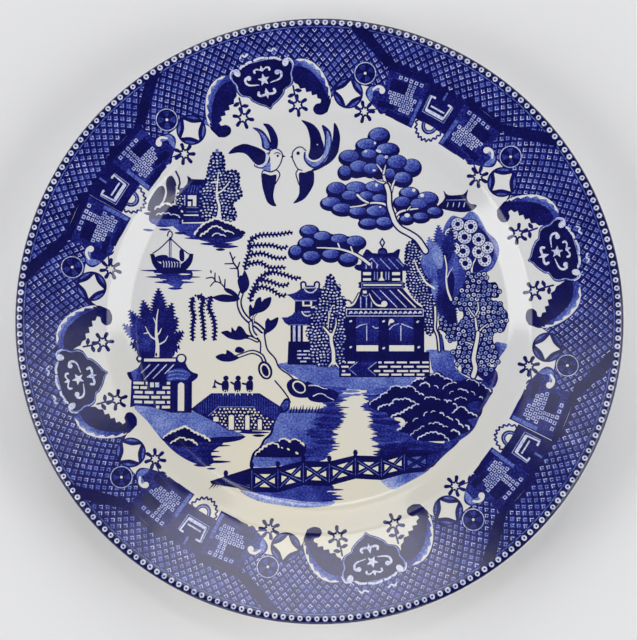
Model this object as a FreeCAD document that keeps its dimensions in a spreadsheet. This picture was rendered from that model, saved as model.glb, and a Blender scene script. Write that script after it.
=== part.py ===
"""A glazed, printed earthenware dinner plate, made as a parametric FreeCAD document.

Frame: +Z is up and is the axis of the plate. The origin is the centre of the plane that the foot ring
stands on. Every section is drawn in the XZ plane and turned about Z. Lengths are in millimetres and
angles in degrees.

Sub-parts, from the inside out:
  earthenware_body  the fired clay: well, cavetto, rim and foot ring
  centre_print      the cobalt film of the round transfer in the well
  border_print      the cobalt film of the ring transfer on the rim
  outer_glaze       the glass coat over the face, the lip and the back, down to the foot ring
  base_glaze        the glass coat of the recess inside the foot ring
"""

import FreeCAD
import Part
import math
import os
import Sketcher

TURN = 360.0
TOLERANCE = 1e-4

# The driving dimensions. Slopes are measured from the horizontal.
DIMENSIONS = {
    "rim_radius": 127.0,
    "lip_thickness": 4.2,
    "lip_round": 1.9,
    "floor_height": 6.6,
    "well_radius": 79.5,
    "cavetto_slope": 37.0,
    "cavetto_bend": 13.0,
    "shoulder_radius": 89.5,
    "shoulder_bend": 9.0,
    "marly_slope": 14.0,
    "back_marly_slope": 15.0,
    "back_shoulder_radius": 91.0,
    "back_shoulder_bend": 14.0,
    "back_cavetto_slope": 30.0,
    "foot_outer_radius": 80.5,
    "foot_inner_radius": 76.0,
    "foot_bend": 1.5,
    "foot_round": 0.8,
    "recess_height": 2.4,
    "recess_bend": 0.8,
    "glaze_thickness": 0.3,
    "glaze_line": 1.3,
    "print_thickness": 0.1,
    "centre_print_radius": 79.0,
    "border_print_inner": 88.0,
    "border_print_outer": 124.5,
    "cutter_height": 40.0,
}


def make_sheet(document):
    """The spreadsheet that holds every driving dimension under its alias."""
    sheet = document.addObject("Spreadsheet::Sheet", "Dims")
    for row, (alias, value) in enumerate(DIMENSIONS.items(), start=1):
        sheet.set(f"A{row}", alias)
        sheet.set(f"B{row}", str(value))
        sheet.setAlias(f"B{row}", alias)
    document.recompute()
    return sheet


def cell(alias):
    return f"Dims.{alias}"


def outline():
    """The section of the clay as corners and runs, from the axis out over the face and back underneath.

    A corner is (radius, height) and a run is the direction, in degrees, in which the section leaves
    the corner before it. All are expressions, and the outside of the clay is on the left of a run.
    """
    rim, shoulder, well = cell("rim_radius"), cell("shoulder_radius"), cell("well_radius")
    back, foot = cell("back_shoulder_radius"), cell("foot_outer_radius")
    floor, recess = cell("floor_height"), cell("recess_height")
    shoulder_height = f"{floor} + ({shoulder} - {well}) * tan({cell('cavetto_slope')})"
    rim_height = f"{shoulder_height} + ({rim} - {shoulder}) * tan({cell('marly_slope')})"
    lip_height = f"{rim_height} - {cell('lip_thickness')}"
    back_height = f"{lip_height} - ({rim} - {back}) * tan({cell('back_marly_slope')})"
    foot_height = f"{back_height} - ({back} - {foot}) * tan({cell('back_cavetto_slope')})"
    corners = {
        "centre_top": ("0", floor),
        "well": (well, floor),
        "shoulder": (shoulder, shoulder_height),
        "rim_top": (rim, rim_height),
        "rim_under": (rim, lip_height),
        "back_shoulder": (back, back_height),
        "foot_top": (foot, foot_height),
        "foot_outside": (foot, "0"),
        "foot_inside": (cell("foot_inner_radius"), "0"),
        "recess": (cell("foot_inner_radius"), recess),
        "centre_under": ("0", recess),
    }
    runs = {
        "well": ("0", cell("cavetto_slope")),
        "shoulder": (cell("cavetto_slope"), cell("marly_slope")),
        "rim_top": (cell("marly_slope"), "-90"),
        "rim_under": ("-90", f"{cell('back_marly_slope')} - 180"),
        "back_shoulder": (f"{cell('back_marly_slope')} - 180", f"{cell('back_cavetto_slope')} - 180"),
        "foot_top": (f"{cell('back_cavetto_slope')} - 180", "-90"),
        "recess": ("-270", "-180"),
    }
    return corners, runs


def grown_corner(corner, runs, thickness):
    """The corner of a coat of that thickness over a corner of the clay."""
    before, after = runs
    middle = f"(({before}) + ({after})) / 2"
    reach = f"{thickness} / cos((({after}) - ({before})) / 2)"
    return f"{corner[0]} - {reach} * sin({middle})", f"{corner[1]} + {reach} * cos({middle})"


def revolved_body(document, label, corners):
    """A body made of one closed section of straight lines, turned once about Z."""
    body = document.addObject("PartDesign::Body", label)
    plane = next(f for f in body.Origin.OriginFeatures if f.Role == "XZ_Plane")
    sketch = body.newObject("Sketcher::SketchObject", f"{label}_section")
    sketch.AttachmentSupport = (plane, [""])
    sketch.MapMode = "FlatFace"
    places = [tuple(float(sketch.evalExpression(e)) for e in corner) for corner in corners]
    count = len(places)
    for index, (radius, height) in enumerate(places):
        end = places[(index + 1) % count]
        sketch.addGeometry(
            Part.LineSegment(FreeCAD.Vector(radius, height, 0), FreeCAD.Vector(end[0], end[1], 0)), False
        )
    for index in range(count):
        sketch.addConstraint(Sketcher.Constraint("Coincident", index, 2, (index + 1) % count, 1))
    for index, (corner, place) in enumerate(zip(corners, places)):
        bind_point(sketch, index, corner, place)
    document.recompute()
    turned = body.newObject("PartDesign::Revolution", f"{label}_turned")
    turned.Profile = sketch
    turned.ReferenceAxis = (sketch, ["V_Axis"])
    turned.Angle = TURN
    document.recompute()
    return body


def bind_point(sketch, line, corner, place):
    """Ties the start of a line to its corner: on an axis where the expression is 0, else by a bound distance."""
    axes = ((-2, "DistanceX"), (-1, "DistanceY"))
    for (axis, kind), expression, value in zip(axes, corner, place):
        if expression == "0":
            sketch.addConstraint(Sketcher.Constraint("PointOnObject", line, 1, axis))
        else:
            made = sketch.addConstraint(Sketcher.Constraint(kind, -1, 1, line, 1, value))
            sketch.setExpression(f"Constraints[{made}]", expression)


def ring_edges(shape, radius, height):
    """The names of the round edges about Z at that radius and height."""
    return [
        f"Edge{number}"
        for number, edge in enumerate(shape.Edges, start=1)
        if isinstance(edge.Curve, Part.Circle)
        and math.isclose(edge.Curve.Radius, radius, abs_tol=TOLERANCE)
        and math.isclose(edge.Curve.Center.z, height, abs_tol=TOLERANCE)
    ]


def round_corner(document, body, name, corner, radius):
    """Rounds the edge that a corner of the section made."""
    base = body.Tip
    place = [float(body.evalExpression(e)) for e in corner]
    rounded = body.newObject("PartDesign::Fillet", f"{body.Label}_{name}_round")
    rounded.Base = (base, ring_edges(base.Shape, *place))
    rounded.setExpression("Radius", radius)
    document.recompute()


def make_clay(document):
    """The fired clay, with its bends rounded."""
    corners, _ = outline()
    body = revolved_body(document, "earthenware_body", list(corners.values()))
    rounds = {
        "well": "cavetto_bend",
        "shoulder": "shoulder_bend",
        "rim_top": "lip_round",
        "rim_under": "lip_round",
        "back_shoulder": "back_shoulder_bend",
        "foot_top": "foot_bend",
        "foot_outside": "foot_round",
        "foot_inside": "foot_round",
        "recess": "recess_bend",
    }
    for name, radius in rounds.items():
        round_corner(document, body, name, corners[name], cell(radius))
    return body


def coat(document, label, first, names, last, thickness):
    """A coat over the named corners, from the point first to the point last, which are (inner, outer) pairs.

    Both of its surfaces are rounded, so that its inner one is the outer surface of the clay.
    """
    corners, runs = outline()
    grown = {name: grown_corner(corners[name], runs[name], thickness) for name in names}
    inner = [first[0]] + [corners[name] for name in names] + [last[0]]
    outer = [last[1]] + [grown[name] for name in reversed(names)] + [first[1]]
    body = revolved_body(document, label, inner + outer)
    bends = {
        "well": ("cavetto_bend", "-"),
        "shoulder": ("shoulder_bend", "+"),
        "rim_top": ("lip_round", "+"),
        "rim_under": ("lip_round", "+"),
        "back_shoulder": ("back_shoulder_bend", "+"),
        "foot_top": ("foot_bend", "-"),
        "recess": ("recess_bend", "-"),
    }
    for name in names:
        bend, sign = bends[name]
        round_corner(document, body, name, corners[name], cell(bend))
        round_corner(document, body, f"{name}_outer", grown[name], f"{cell(bend)} {sign} {thickness}")
    return body


def make_print_blank(document):
    """The film of ink before it is parted into the centre and the border."""
    thickness = cell("print_thickness")
    corners, _ = outline()
    floor = cell("floor_height")
    edge, slope = cell("border_print_outer"), cell("marly_slope")
    edge_height = f"{corners['shoulder'][1]} + ({edge} - {cell('shoulder_radius')}) * tan({slope})"
    first = (("0", floor), ("0", f"{floor} + {thickness}"))
    last = ((edge, edge_height), (edge, f"{edge_height} + {thickness} / cos({slope})"))
    return coat(document, "print_blank", first, ["well", "shoulder"], last, thickness)


def make_cutter(document, name, radius):
    cylinder = document.addObject("Part::Cylinder", name)
    cylinder.setExpression("Radius", cell(radius))
    cylinder.setExpression("Height", cell("cutter_height"))
    return cylinder


def boolean(document, kind, label, base, tool):
    made = document.addObject(f"Part::{kind}", label)
    made.Base = base
    made.Tool = tool
    document.recompute()
    return made


def make_prints(document):
    """The two films of ink: a disc in the well and a ring on the rim."""
    blank = make_print_blank(document)
    centre_tool = make_cutter(document, "centre_cutter", "centre_print_radius")
    border_tool = make_cutter(document, "border_cutter", "border_print_inner")
    centre = boolean(document, "Common", "centre_print", blank, centre_tool)
    border = boolean(document, "Cut", "border_print", blank, border_tool)
    return centre, border


def make_outer_glaze(document, centre, border):
    """The coat over the face, the lip and the back, with room underneath for the two films of ink."""
    thickness = cell("glaze_thickness")
    floor, line, foot = cell("floor_height"), cell("glaze_line"), cell("foot_outer_radius")
    names = ["well", "shoulder", "rim_top", "rim_under", "back_shoulder", "foot_top"]
    first = (("0", floor), ("0", f"{floor} + {thickness}"))
    last = ((foot, line), (f"{foot} + {thickness}", line))
    blank = coat(document, "glaze_blank", first, names, last, thickness)
    over_centre = boolean(document, "Cut", "glaze_over_centre", blank, centre)
    return boolean(document, "Cut", "outer_glaze", over_centre, border)


def make_base_glaze(document):
    """The coat of the recess, which ends part of the way down the inside of the foot ring."""
    thickness = cell("glaze_thickness")
    recess, line, foot = cell("recess_height"), cell("glaze_line"), cell("foot_inner_radius")
    first = ((foot, line), (f"{foot} - {thickness}", line))
    last = (("0", recess), ("0", f"{recess} - {thickness}"))
    return coat(document, "base_glaze", first, ["recess"], last, thickness)


def check(document, parts):
    """Stops the build if a feature failed or a sub-part isn't one sound solid."""
    for item in document.Objects:
        if "Invalid" in item.State or "Error" in item.State:
            raise RuntimeError(f"{item.Label} failed: {item.State}")
    for part in parts:
        shape = part.Shape
        if shape.isNull() or not shape.isValid() or len(shape.Solids) != 1:
            raise RuntimeError(f"{part.Label} isn't one valid solid")
        print(f"{part.Label}: {shape.Volume / 1000:.2f} cm3, {len(shape.Faces)} faces")


def main():
    document = FreeCAD.newDocument("dinner_plate")
    make_sheet(document)
    clay = make_clay(document)
    centre, border = make_prints(document)
    outer_glaze = make_outer_glaze(document, centre, border)
    base_glaze = make_base_glaze(document)
    document.recompute()
    parts = [clay, centre, border, outer_glaze, base_glaze]
    check(document, parts)
    os.makedirs("parts", exist_ok=True)
    for part in parts:
        part.Shape.exportStep(f"parts/{part.Label}.step")


main()
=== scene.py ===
"""China dinner plate with a blue transfer print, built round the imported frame.

The glazed plate is turned from the same section as the CAD model.  The print is drawn as
flat shapes in millimetres, seen from above, and laid on the glaze as thin coloured pieces.
"""

import math
import random

import bpy
import numpy as np
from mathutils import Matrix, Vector
from mathutils.geometry import delaunay_2d_cdt


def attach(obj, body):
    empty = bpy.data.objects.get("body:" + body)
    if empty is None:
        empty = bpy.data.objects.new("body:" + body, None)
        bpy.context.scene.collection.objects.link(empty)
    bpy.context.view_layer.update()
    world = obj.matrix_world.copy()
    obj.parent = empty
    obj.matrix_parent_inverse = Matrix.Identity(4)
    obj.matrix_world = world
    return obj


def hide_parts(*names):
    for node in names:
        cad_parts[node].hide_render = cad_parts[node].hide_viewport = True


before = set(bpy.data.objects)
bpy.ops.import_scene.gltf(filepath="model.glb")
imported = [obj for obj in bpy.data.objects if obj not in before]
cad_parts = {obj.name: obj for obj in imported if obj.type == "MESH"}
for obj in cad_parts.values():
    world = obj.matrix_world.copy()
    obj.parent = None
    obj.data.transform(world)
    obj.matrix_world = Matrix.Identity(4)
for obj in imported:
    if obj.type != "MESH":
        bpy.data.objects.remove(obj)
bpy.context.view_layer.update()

MM = 0.001

# ---- The plate's section, in millimetres and degrees, as the CAD model has it ----
RIM_RADIUS = 127.0
LIP_THICKNESS = 4.2
LIP_ROUND = 1.9
FLOOR_HEIGHT = 6.6
WELL_RADIUS = 79.5
CAVETTO_SLOPE = 37.0
CAVETTO_BEND = 13.0
SHOULDER_RADIUS = 89.5
SHOULDER_BEND = 9.0
MARLY_SLOPE = 14.0
BACK_MARLY_SLOPE = 15.0
BACK_SHOULDER_RADIUS = 91.0
BACK_SHOULDER_BEND = 14.0
BACK_CAVETTO_SLOPE = 30.0
FOOT_OUTER_RADIUS = 80.5
FOOT_INNER_RADIUS = 76.0
FOOT_BEND = 1.5
FOOT_ROUND = 0.8
RECESS_HEIGHT = 2.4
RECESS_BEND = 0.8
GLAZE_THICKNESS = 0.3
GLAZE_LINE = 1.3
PRINT_LIFT = 0.04
TURN_STEPS = 360
SURFACE_STEP = 0.02

# Places in the list of the section's corners: the end of the top side, the foot and the recess.
TOP_CORNERS = 5
FOOT_CORNER = 7
RECESS_CORNER = 9


def rise(run, slope):
    """How far a straight run at this slope climbs."""
    return run * math.tan(math.radians(slope))


def section_corners():
    """Corners of the bare clay from the middle of the floor over the lip to the recess.

    Each is (radius, height, bend), and the bend is positive where glaze makes it larger.
    """
    shoulder = FLOOR_HEIGHT + rise(SHOULDER_RADIUS - WELL_RADIUS, CAVETTO_SLOPE)
    rim_top = shoulder + rise(RIM_RADIUS - SHOULDER_RADIUS, MARLY_SLOPE)
    rim_under = rim_top - LIP_THICKNESS
    back_shoulder = rim_under - rise(RIM_RADIUS - BACK_SHOULDER_RADIUS, BACK_MARLY_SLOPE)
    foot_top = back_shoulder - rise(BACK_SHOULDER_RADIUS - FOOT_OUTER_RADIUS, BACK_CAVETTO_SLOPE)
    return [
        (0.0, FLOOR_HEIGHT, 0.0),
        (WELL_RADIUS, FLOOR_HEIGHT, -CAVETTO_BEND),
        (SHOULDER_RADIUS, shoulder, SHOULDER_BEND),
        (RIM_RADIUS, rim_top, LIP_ROUND),
        (RIM_RADIUS, rim_under, LIP_ROUND),
        (BACK_SHOULDER_RADIUS, back_shoulder, BACK_SHOULDER_BEND),
        (FOOT_OUTER_RADIUS, foot_top, -FOOT_BEND),
        (FOOT_OUTER_RADIUS, 0.0, FOOT_ROUND),
        (FOOT_INNER_RADIUS, 0.0, FOOT_ROUND),
        (FOOT_INNER_RADIUS, RECESS_HEIGHT, -RECESS_BEND),
        (0.0, RECESS_HEIGHT, 0.0),
    ]


def grown(corners, thickness):
    """The same corners moved outward by an even thickness, with their bends to match."""
    result = []
    last = len(corners) - 1
    for i, (r, z, bend) in enumerate(corners):
        point = np.array((r, z))
        before = point - np.array(corners[i - 1][:2]) if i > 0 else None
        after = np.array(corners[i + 1][:2]) - point if i < last else None
        sides = []
        for run in (before, after):
            if run is not None:
                run = run / np.linalg.norm(run)
                sides.append(np.array((-run[1], run[0])))
        if len(sides) == 1:
            moved = point + sides[0] * thickness
        else:
            middle = sides[0] + sides[1]
            moved = point + middle * (thickness / (0.5 * (middle @ middle)))
        if bend:
            bend = bend + thickness
        result.append((moved[0], moved[1], bend))
    return result


def rounded(corners, arc_step=4.0):
    """Points of the section with every bend as an arc of short chords."""
    points = []
    last = len(corners) - 1
    for i, (r, z, bend) in enumerate(corners):
        point = np.array((r, z))
        if i in (0, last) or not bend:
            points.append(point)
            continue
        before = np.array(corners[i - 1][:2]) - point
        after = np.array(corners[i + 1][:2]) - point
        before = before / np.linalg.norm(before)
        after = after / np.linalg.norm(after)
        half = 0.5 * math.acos(max(-1.0, min(1.0, before @ after)))
        radius = abs(bend)
        reach = radius / math.tan(half)
        middle = before + after
        middle = middle / np.linalg.norm(middle)
        centre = point + middle * (radius / math.sin(half))
        first = point + before * reach - centre
        turn = math.pi - 2.0 * half
        side = 1.0 if before[0] * after[1] - before[1] * after[0] < 0.0 else -1.0
        steps = max(3, math.ceil(math.degrees(turn) / arc_step))
        for k in range(steps + 1):
            a = side * turn * k / steps
            c, s = math.cos(a), math.sin(a)
            points.append(centre + np.array((first[0] * c - first[1] * s, first[0] * s + first[1] * c)))
    return points


CLAY = section_corners()
GLAZE = grown(CLAY, GLAZE_THICKNESS)


def flat_runs_split(points, longest=3.0):
    """The same section with its straight runs cut into short ones."""
    result = [points[0]]
    for a, b in zip(points, points[1:]):
        cuts = max(1, math.ceil(np.linalg.norm(b - a) / longest))
        for k in range(1, cuts + 1):
            result.append(a + (b - a) * (k / cuts))
    return result


def placed(name, data):
    """A new object in the scene for a mesh, a light or a camera."""
    obj = bpy.data.objects.new(name, data)
    bpy.context.scene.collection.objects.link(obj)
    return obj


def turned(name, section):
    """A solid of revolution about +Z, from a section that starts and ends on the axis."""
    angles = [2.0 * math.pi * k / TURN_STEPS for k in range(TURN_STEPS)]
    verts, faces, rows = [], [], []
    for r, z in section:
        if r < 1e-6:
            rows.append([len(verts)] * TURN_STEPS)
            verts.append((0.0, 0.0, z * MM))
        else:
            rows.append(list(range(len(verts), len(verts) + TURN_STEPS)))
            verts.extend((r * MM * math.cos(a), r * MM * math.sin(a), z * MM) for a in angles)
    for low, high in zip(rows, rows[1:]):
        for k in range(TURN_STEPS):
            n = (k + 1) % TURN_STEPS
            ring = [low[k], low[n], high[n], high[k]]
            face = [v for i, v in enumerate(ring) if v != ring[i - 1]]
            if len(face) > 2:
                faces.append(face)
    mesh = bpy.data.meshes.new(name)
    mesh.from_pydata(verts, [], faces)
    mesh.validate()
    mesh.update()
    mesh.polygons.foreach_set("use_smooth", [True] * len(mesh.polygons))
    return placed(name, mesh)


def show(obj, slot, material, *replaced):
    """Puts a piece on the plate's one body, with its material, in place of the CAD nodes it stands for."""
    obj.data.materials.append(material)
    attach(obj, "root")
    if replaced:
        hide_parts(*replaced)


# ---- The glazed surface that the print lies on ----
SURFACE = np.array(rounded(GLAZE[:TOP_CORNERS], arc_step=0.5))
SURFACE = SURFACE[: int(np.argmax(SURFACE[:, 0])) + 1]
LIP_EDGE = SURFACE[-1, 0] - SURFACE_STEP
SURFACE_R = np.append(np.arange(0.0, LIP_EDGE, SURFACE_STEP), LIP_EDGE)
SURFACE_Z = np.interp(SURFACE_R, SURFACE[:, 0], SURFACE[:, 1])
SURFACE_SLOPE = np.gradient(SURFACE_Z, SURFACE_R)


def laid(points):
    """Points seen from above, in millimetres, laid just over the glaze: places in metres, and normals."""
    points = np.asarray(points, float)
    r = np.hypot(points[:, 0], points[:, 1])
    slope = np.interp(r, SURFACE_R, SURFACE_SLOPE)
    z = np.interp(r, SURFACE_R, SURFACE_Z)
    lean = -slope / np.maximum(r, 1e-6)
    normal = np.column_stack((lean * points[:, 0], lean * points[:, 1], np.ones(len(points))))
    normal /= np.linalg.norm(normal, axis=1)[:, None]
    place = np.column_stack((points, z)) + normal * PRINT_LIFT
    return place * MM, normal


# ---- Drawing: a shape is its outline, in millimetres, and its ink ----
# Ink runs from 0, bare glaze, to 1, the darkest blue.  A fade is (ink, ink, point, point).

def arc(x, y, radius, start, end, steps=12):
    """Points along a circle, between two angles in degrees."""
    return [(x + radius * math.cos(math.radians(a)), y + radius * math.sin(math.radians(a)))
            for a in np.linspace(start, end, steps)]


def oval(x, y, rx, ry=None, turn=0.0, steps=16):
    """Points round an oval, which is a circle without a second radius."""
    ry = rx if ry is None else ry
    c, s = math.cos(math.radians(turn)), math.sin(math.radians(turn))
    around = [2.0 * math.pi * k / steps for k in range(steps)]
    return [(x + rx * math.cos(a) * c - ry * math.sin(a) * s, y + rx * math.cos(a) * s + ry * math.sin(a) * c)
            for a in around]


def star(x, y, reach, waist, arms, turn):
    """The corners of a star, with its arms at even angles."""
    count = 2 * arms
    return [oval(x, y, waist if k % 2 else reach, steps=count, turn=turn)[k] for k in range(count)]


def square(x, y, size):
    """The corners of a square round a place."""
    half = 0.5 * size
    return [(x - half, y - half), (x + half, y - half), (x + half, y + half), (x - half, y + half)]


def smooth(points, closed=False, steps=4):
    """A curve through the points."""
    p = [np.array(q, float) for q in points]
    count = len(p)
    result = []
    for i in range(count if closed else count - 1):
        b, c = p[i], p[(i + 1) % count]
        a = p[i - 1] if closed or i > 0 else 2 * b - c
        d = p[(i + 2) % count] if closed or i + 2 < count else 2 * c - b
        for k in range(steps):
            t = k / steps
            result.append(0.5 * (2 * b + (c - a) * t + (2 * a - 5 * b + 4 * c - d) * t * t
                                 + (3 * b - a - 3 * c + d) * t ** 3))
    if not closed:
        result.append(p[-1])
    return [tuple(q) for q in result]


# A stroke thinner than this to each side of its line has no round ends.
THINNEST_END = 0.09


def blob(points, ink, steps=4):
    """One filled shape with a smooth outline."""
    return [(smooth(points, True, steps), ink)]


def patch(points, ink):
    """One filled shape with straight sides."""
    return [(list(points), ink)]


def box(x0, y0, x1, y1, ink):
    """A filled rectangle between two opposite corners."""
    return patch([(x0, y0), (x1, y0), (x1, y1), (x0, y1)], ink)


def stroke(points, width, ink, end=None, ends=True):
    """A line of a width that may change evenly to another by its end, as short four-sided shapes."""
    p = np.asarray(points, float)
    run = np.diff(p, axis=0)
    length = np.maximum(np.linalg.norm(run, axis=1), 1e-6)
    run = run / length[:, None]
    side = np.vstack((run[:1], run[:-1] + run[1:], run[-1:]))
    side = side / np.maximum(np.linalg.norm(side, axis=1), 0.3)[:, None]
    side = np.column_stack((-side[:, 1], side[:, 0]))
    along = np.concatenate(([0.0], np.cumsum(length))) / length.sum()
    half = 0.5 * (width + ((width if end is None else end) - width) * along)[:, None]
    left, right = p + side * half, p - side * half
    art = [([tuple(left[i]), tuple(right[i]), tuple(right[i + 1]), tuple(left[i + 1])], ink)
           for i in range(len(p) - 1)]
    if ends:
        for i in (0, -1):
            if half[i, 0] > THINNEST_END:
                art.append((oval(p[i, 0], p[i, 1], half[i, 0], steps=8), ink))
    return art


def curve(points, width, ink, end=None, steps=4):
    """A stroke along a smooth line."""
    return stroke(smooth(points, False, steps), width, ink, end)


def remade(art, place):
    """The same art, with its points and those of its fades put elsewhere by a function."""
    result = []
    for points, ink in art:
        if isinstance(ink, tuple):
            ink = ink[:2] + tuple(place(ink[2:]))
        result.append((place(points), ink))
    return result


def moved(art, x=0.0, y=0.0, turn=0.0, scale=1.0, flip=False):
    """The same art mirrored left to right, scaled, turned and then moved."""
    c, s = scale * math.cos(math.radians(turn)), scale * math.sin(math.radians(turn))
    hand = -1.0 if flip else 1.0

    def place(points):
        return [(x + hand * px * c - py * s, y + hand * px * s + py * c) for px, py in points]

    return remade(art, place)


def on_ring(art, angle, radius):
    """Art drawn round (0, 0), with +Y outward, set on the rim at an angle and radius."""
    a = math.radians(angle)
    return moved(art, radius * math.cos(a), radius * math.sin(a), angle - 90.0)


def bent(art, angle, stretch=1.0):
    """Art in (millimetres clockwise round the border, radius), wrapped round the plate."""
    def place(points):
        turns = [(math.radians(angle - stretch * along / BORDER_DEGREE), r) for along, r in points]
        return [(r * math.cos(a), r * math.sin(a)) for a, r in turns]

    return remade(art, place)


# ---- Print: flat art cut into triangles and laid on the glaze ----
# The glaze is flat inside FLAT_EDGE and strongly curved from there to SHOULDER_END and from LIP_START on.
FLAT_EDGE = 74.0
SHOULDER_END = 94.0
LIP_START = 124.5
CURVED_STEP = 0.9
FLAT_STEP = 6.0
RING_TURN = 5.0  # degrees
RING_GAP = 4.0
BARE_INK = 0.09  # a shape with less ink than this leaves the glaze bare
BIN = 2.5  # the side of the squares that places are sorted into


def follow_rings():
    """Radii at which the glaze has turned by a few degrees since the last, or that are far enough apart."""
    lean = np.degrees(np.arctan(SURFACE_SLOPE))
    rings, last = [], 0
    for i, r in enumerate(SURFACE_R):
        turned_away = abs(lean[i] - lean[last]) > RING_TURN
        if r > FLAT_EDGE and (turned_away or r - SURFACE_R[last] > RING_GAP or r == LIP_EDGE):
            rings.append(float(r))
            last = i
    return rings


def follow_net(low, high):
    """Points on rings round the plate, inside a box, and the lines between them.

    They hold the print to the glaze where it is curved.
    """
    points, lines = [], []
    for i, r in enumerate(follow_rings()):
        count = round(math.pi * r)
        turns = [2.0 * math.pi * (k + 0.5 * (i % 2)) / count for k in range(count)]
        ring = [(r * math.cos(a), r * math.sin(a)) for a in turns]
        inside = [low[0] < x < high[0] and low[1] < y < high[1] for x, y in ring]
        place = len(points) + np.cumsum(inside) - 1
        points += [point for point, kept in zip(ring, inside) if kept]
        lines += [(int(place[k]), int(place[(k + 1) % count])) for k in range(count)
                  if inside[k] and inside[(k + 1) % count]]
    return points, lines


def split_where_curved(points):
    """The outline with its long sides cut up where the glaze below them is strongly curved."""
    result = []
    for a, b in zip(points, points[1:] + points[:1]):
        result.append(a)
        r = math.hypot(0.5 * (a[0] + b[0]), 0.5 * (a[1] + b[1]))
        step = CURVED_STEP if FLAT_EDGE - 1.0 < r < SHOULDER_END or r > LIP_START else FLAT_STEP
        parts = int(math.hypot(b[0] - a[0], b[1] - a[1]) / step) + 1
        result += [(a[0] + (b[0] - a[0]) * k / parts, a[1] + (b[1] - a[1]) * k / parts)
                   for k in range(1, parts)]
    return result


def holds(outline, points):
    """Which of the points lie inside a closed outline."""
    inside = np.zeros(len(points), bool)
    x, y = points[:, 0], points[:, 1]
    for (ax, ay), (bx, by) in zip(outline, outline[1:] + outline[:1]):
        if ay != by:
            inside ^= ((ay > y) != (by > y)) & (x < (bx - ax) * (y - ay) / (by - ay) + ax)
    return inside


def topmost(outlines, centres):
    """The last of the outlines that holds each point, or -1."""
    low = centres.min(axis=0)
    across = int((centres[:, 0].max() - low[0]) / BIN) + 2
    cells = ((centres - low) / BIN).astype(int)
    keys = cells[:, 1] * across + cells[:, 0]
    order = np.argsort(keys, kind="stable")
    starts = np.searchsorted(keys[order], np.arange((cells[:, 1].max() + 2) * across + 1))
    rows = cells[:, 1].max()
    top = np.full(len(centres), -1)
    for i, outline in enumerate(outlines):
        corners = np.asarray(outline)
        x0, y0 = np.maximum((corners.min(axis=0) - low) / BIN, 0.0).astype(int)
        x1, y1 = np.minimum((corners.max(axis=0) - low) / BIN, (across - 1, rows)).astype(int)
        near = [order[starts[row * across + x0]:starts[row * across + x1 + 1]] for row in range(y0, y1 + 1)]
        near = np.concatenate(near) if near else np.zeros(0, int)
        if len(near):
            top[near[holds(outline, centres[near])]] = i
    return top


STANDS_FOR = {"bead_band": ["border_print"], "ground_and_water": ["centre_print"]}


def gathered(layers):
    """All corners and sides of the layers' shapes, then each shape's outline, ink and name."""
    corners, sides, outlines, inks, names = [], [], [], [], []
    for name, art in layers:
        for points, ink in art:
            points = split_where_curved(list(points))
            first, count = len(corners), len(points)
            sides.extend((first + k, first + (k + 1) % count) for k in range(count))
            corners.extend(points)
            outlines.append(points)
            inks.append(ink)
            names.append(name)
    return corners, sides, outlines, inks, names


def triangles(corners, sides):
    """The flat print as triangles, cut along every side and along the net that holds it to the glaze."""
    every = np.asarray(corners)
    net, lines = follow_net(every.min(axis=0), every.max(axis=0))
    sides = sides + [(len(corners) + a, len(corners) + b) for a, b in lines]
    made = delaunay_2d_cdt([Vector(v) for v in corners + net], sides, [], 0, 1e-4, False)
    flat = np.array([v[:] for v in made[0]])
    tris = np.array(made[2])
    return flat, tris[np.hypot(*flat[tris].mean(axis=1).T) < LIP_EDGE]


def tones(flat, tris, top, inks):
    """The ink at each corner of each triangle, from the shape that lies on top there."""
    tone = np.zeros(tris.shape, np.float32)
    plain = np.array([ink if not isinstance(ink, tuple) else -1.0 for ink in inks] + [0.0])
    tone[:] = plain[top][:, None]
    for i in np.unique(top[tone[:, 0] < 0.0]):
        start, stop, a, b = inks[i]
        mine = np.flatnonzero(top == i)
        a, b = np.array(a), np.array(b)
        share = np.clip((flat[tris[mine]] - a) @ (b - a) / ((b - a) @ (b - a)), 0.0, 1.0)
        tone[mine] = start + (stop - start) * share
    return tone


def make_print(name, flat, tris, tone):
    """One thin piece from its triangles and the ink at their corners."""
    used, own = np.unique(tris, return_inverse=True)
    place, normal = laid(flat[used])
    mesh = bpy.data.meshes.new(name)
    mesh.from_pydata(place.tolist(), [], own.reshape(-1, 3).tolist())
    mesh.update()
    mesh.attributes.new("ink", "FLOAT", "CORNER").data.foreach_set("value", tone.ravel())
    mesh.polygons.foreach_set("use_smooth", [True] * len(mesh.polygons))
    mesh.normals_split_custom_set_from_vertices(normal.tolist())
    show(placed(name, mesh), "cobalt_print", COBALT, *STANDS_FOR.get(name, ()))


def printed(layers):
    """Turns named layers of art, listed from the bottom up, into one thin piece for each name.

    The shape painted last wins, and where that is bare glaze nothing is left, so pieces never overlap.
    """
    corners, sides, outlines, inks, names = gathered(layers)
    flat, tris = triangles(corners, sides)
    top = topmost(outlines, flat[tris].mean(axis=1))
    tone = tones(flat, tris, top, inks)
    tags = list(dict.fromkeys(names))
    tag_of = np.array([tags.index(name) for name in names] + [-1])[top]
    tag_of[tone.max(axis=1) < BARE_INK] = -1
    for tag, name in enumerate(tags):
        mine = tag_of == tag
        if mine.any():
            make_print(name, flat, tris[mine], tone[mine])


# ---- Materials ----

def srgb(r, g, b):
    """A colour given as 0-255 screen values, in the renderer's linear values."""
    values = [v / 255.0 for v in (r, g, b)]
    return [v / 12.92 if v <= 0.04045 else ((v + 0.055) / 1.055) ** 2.4 for v in values] + [1.0]


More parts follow.
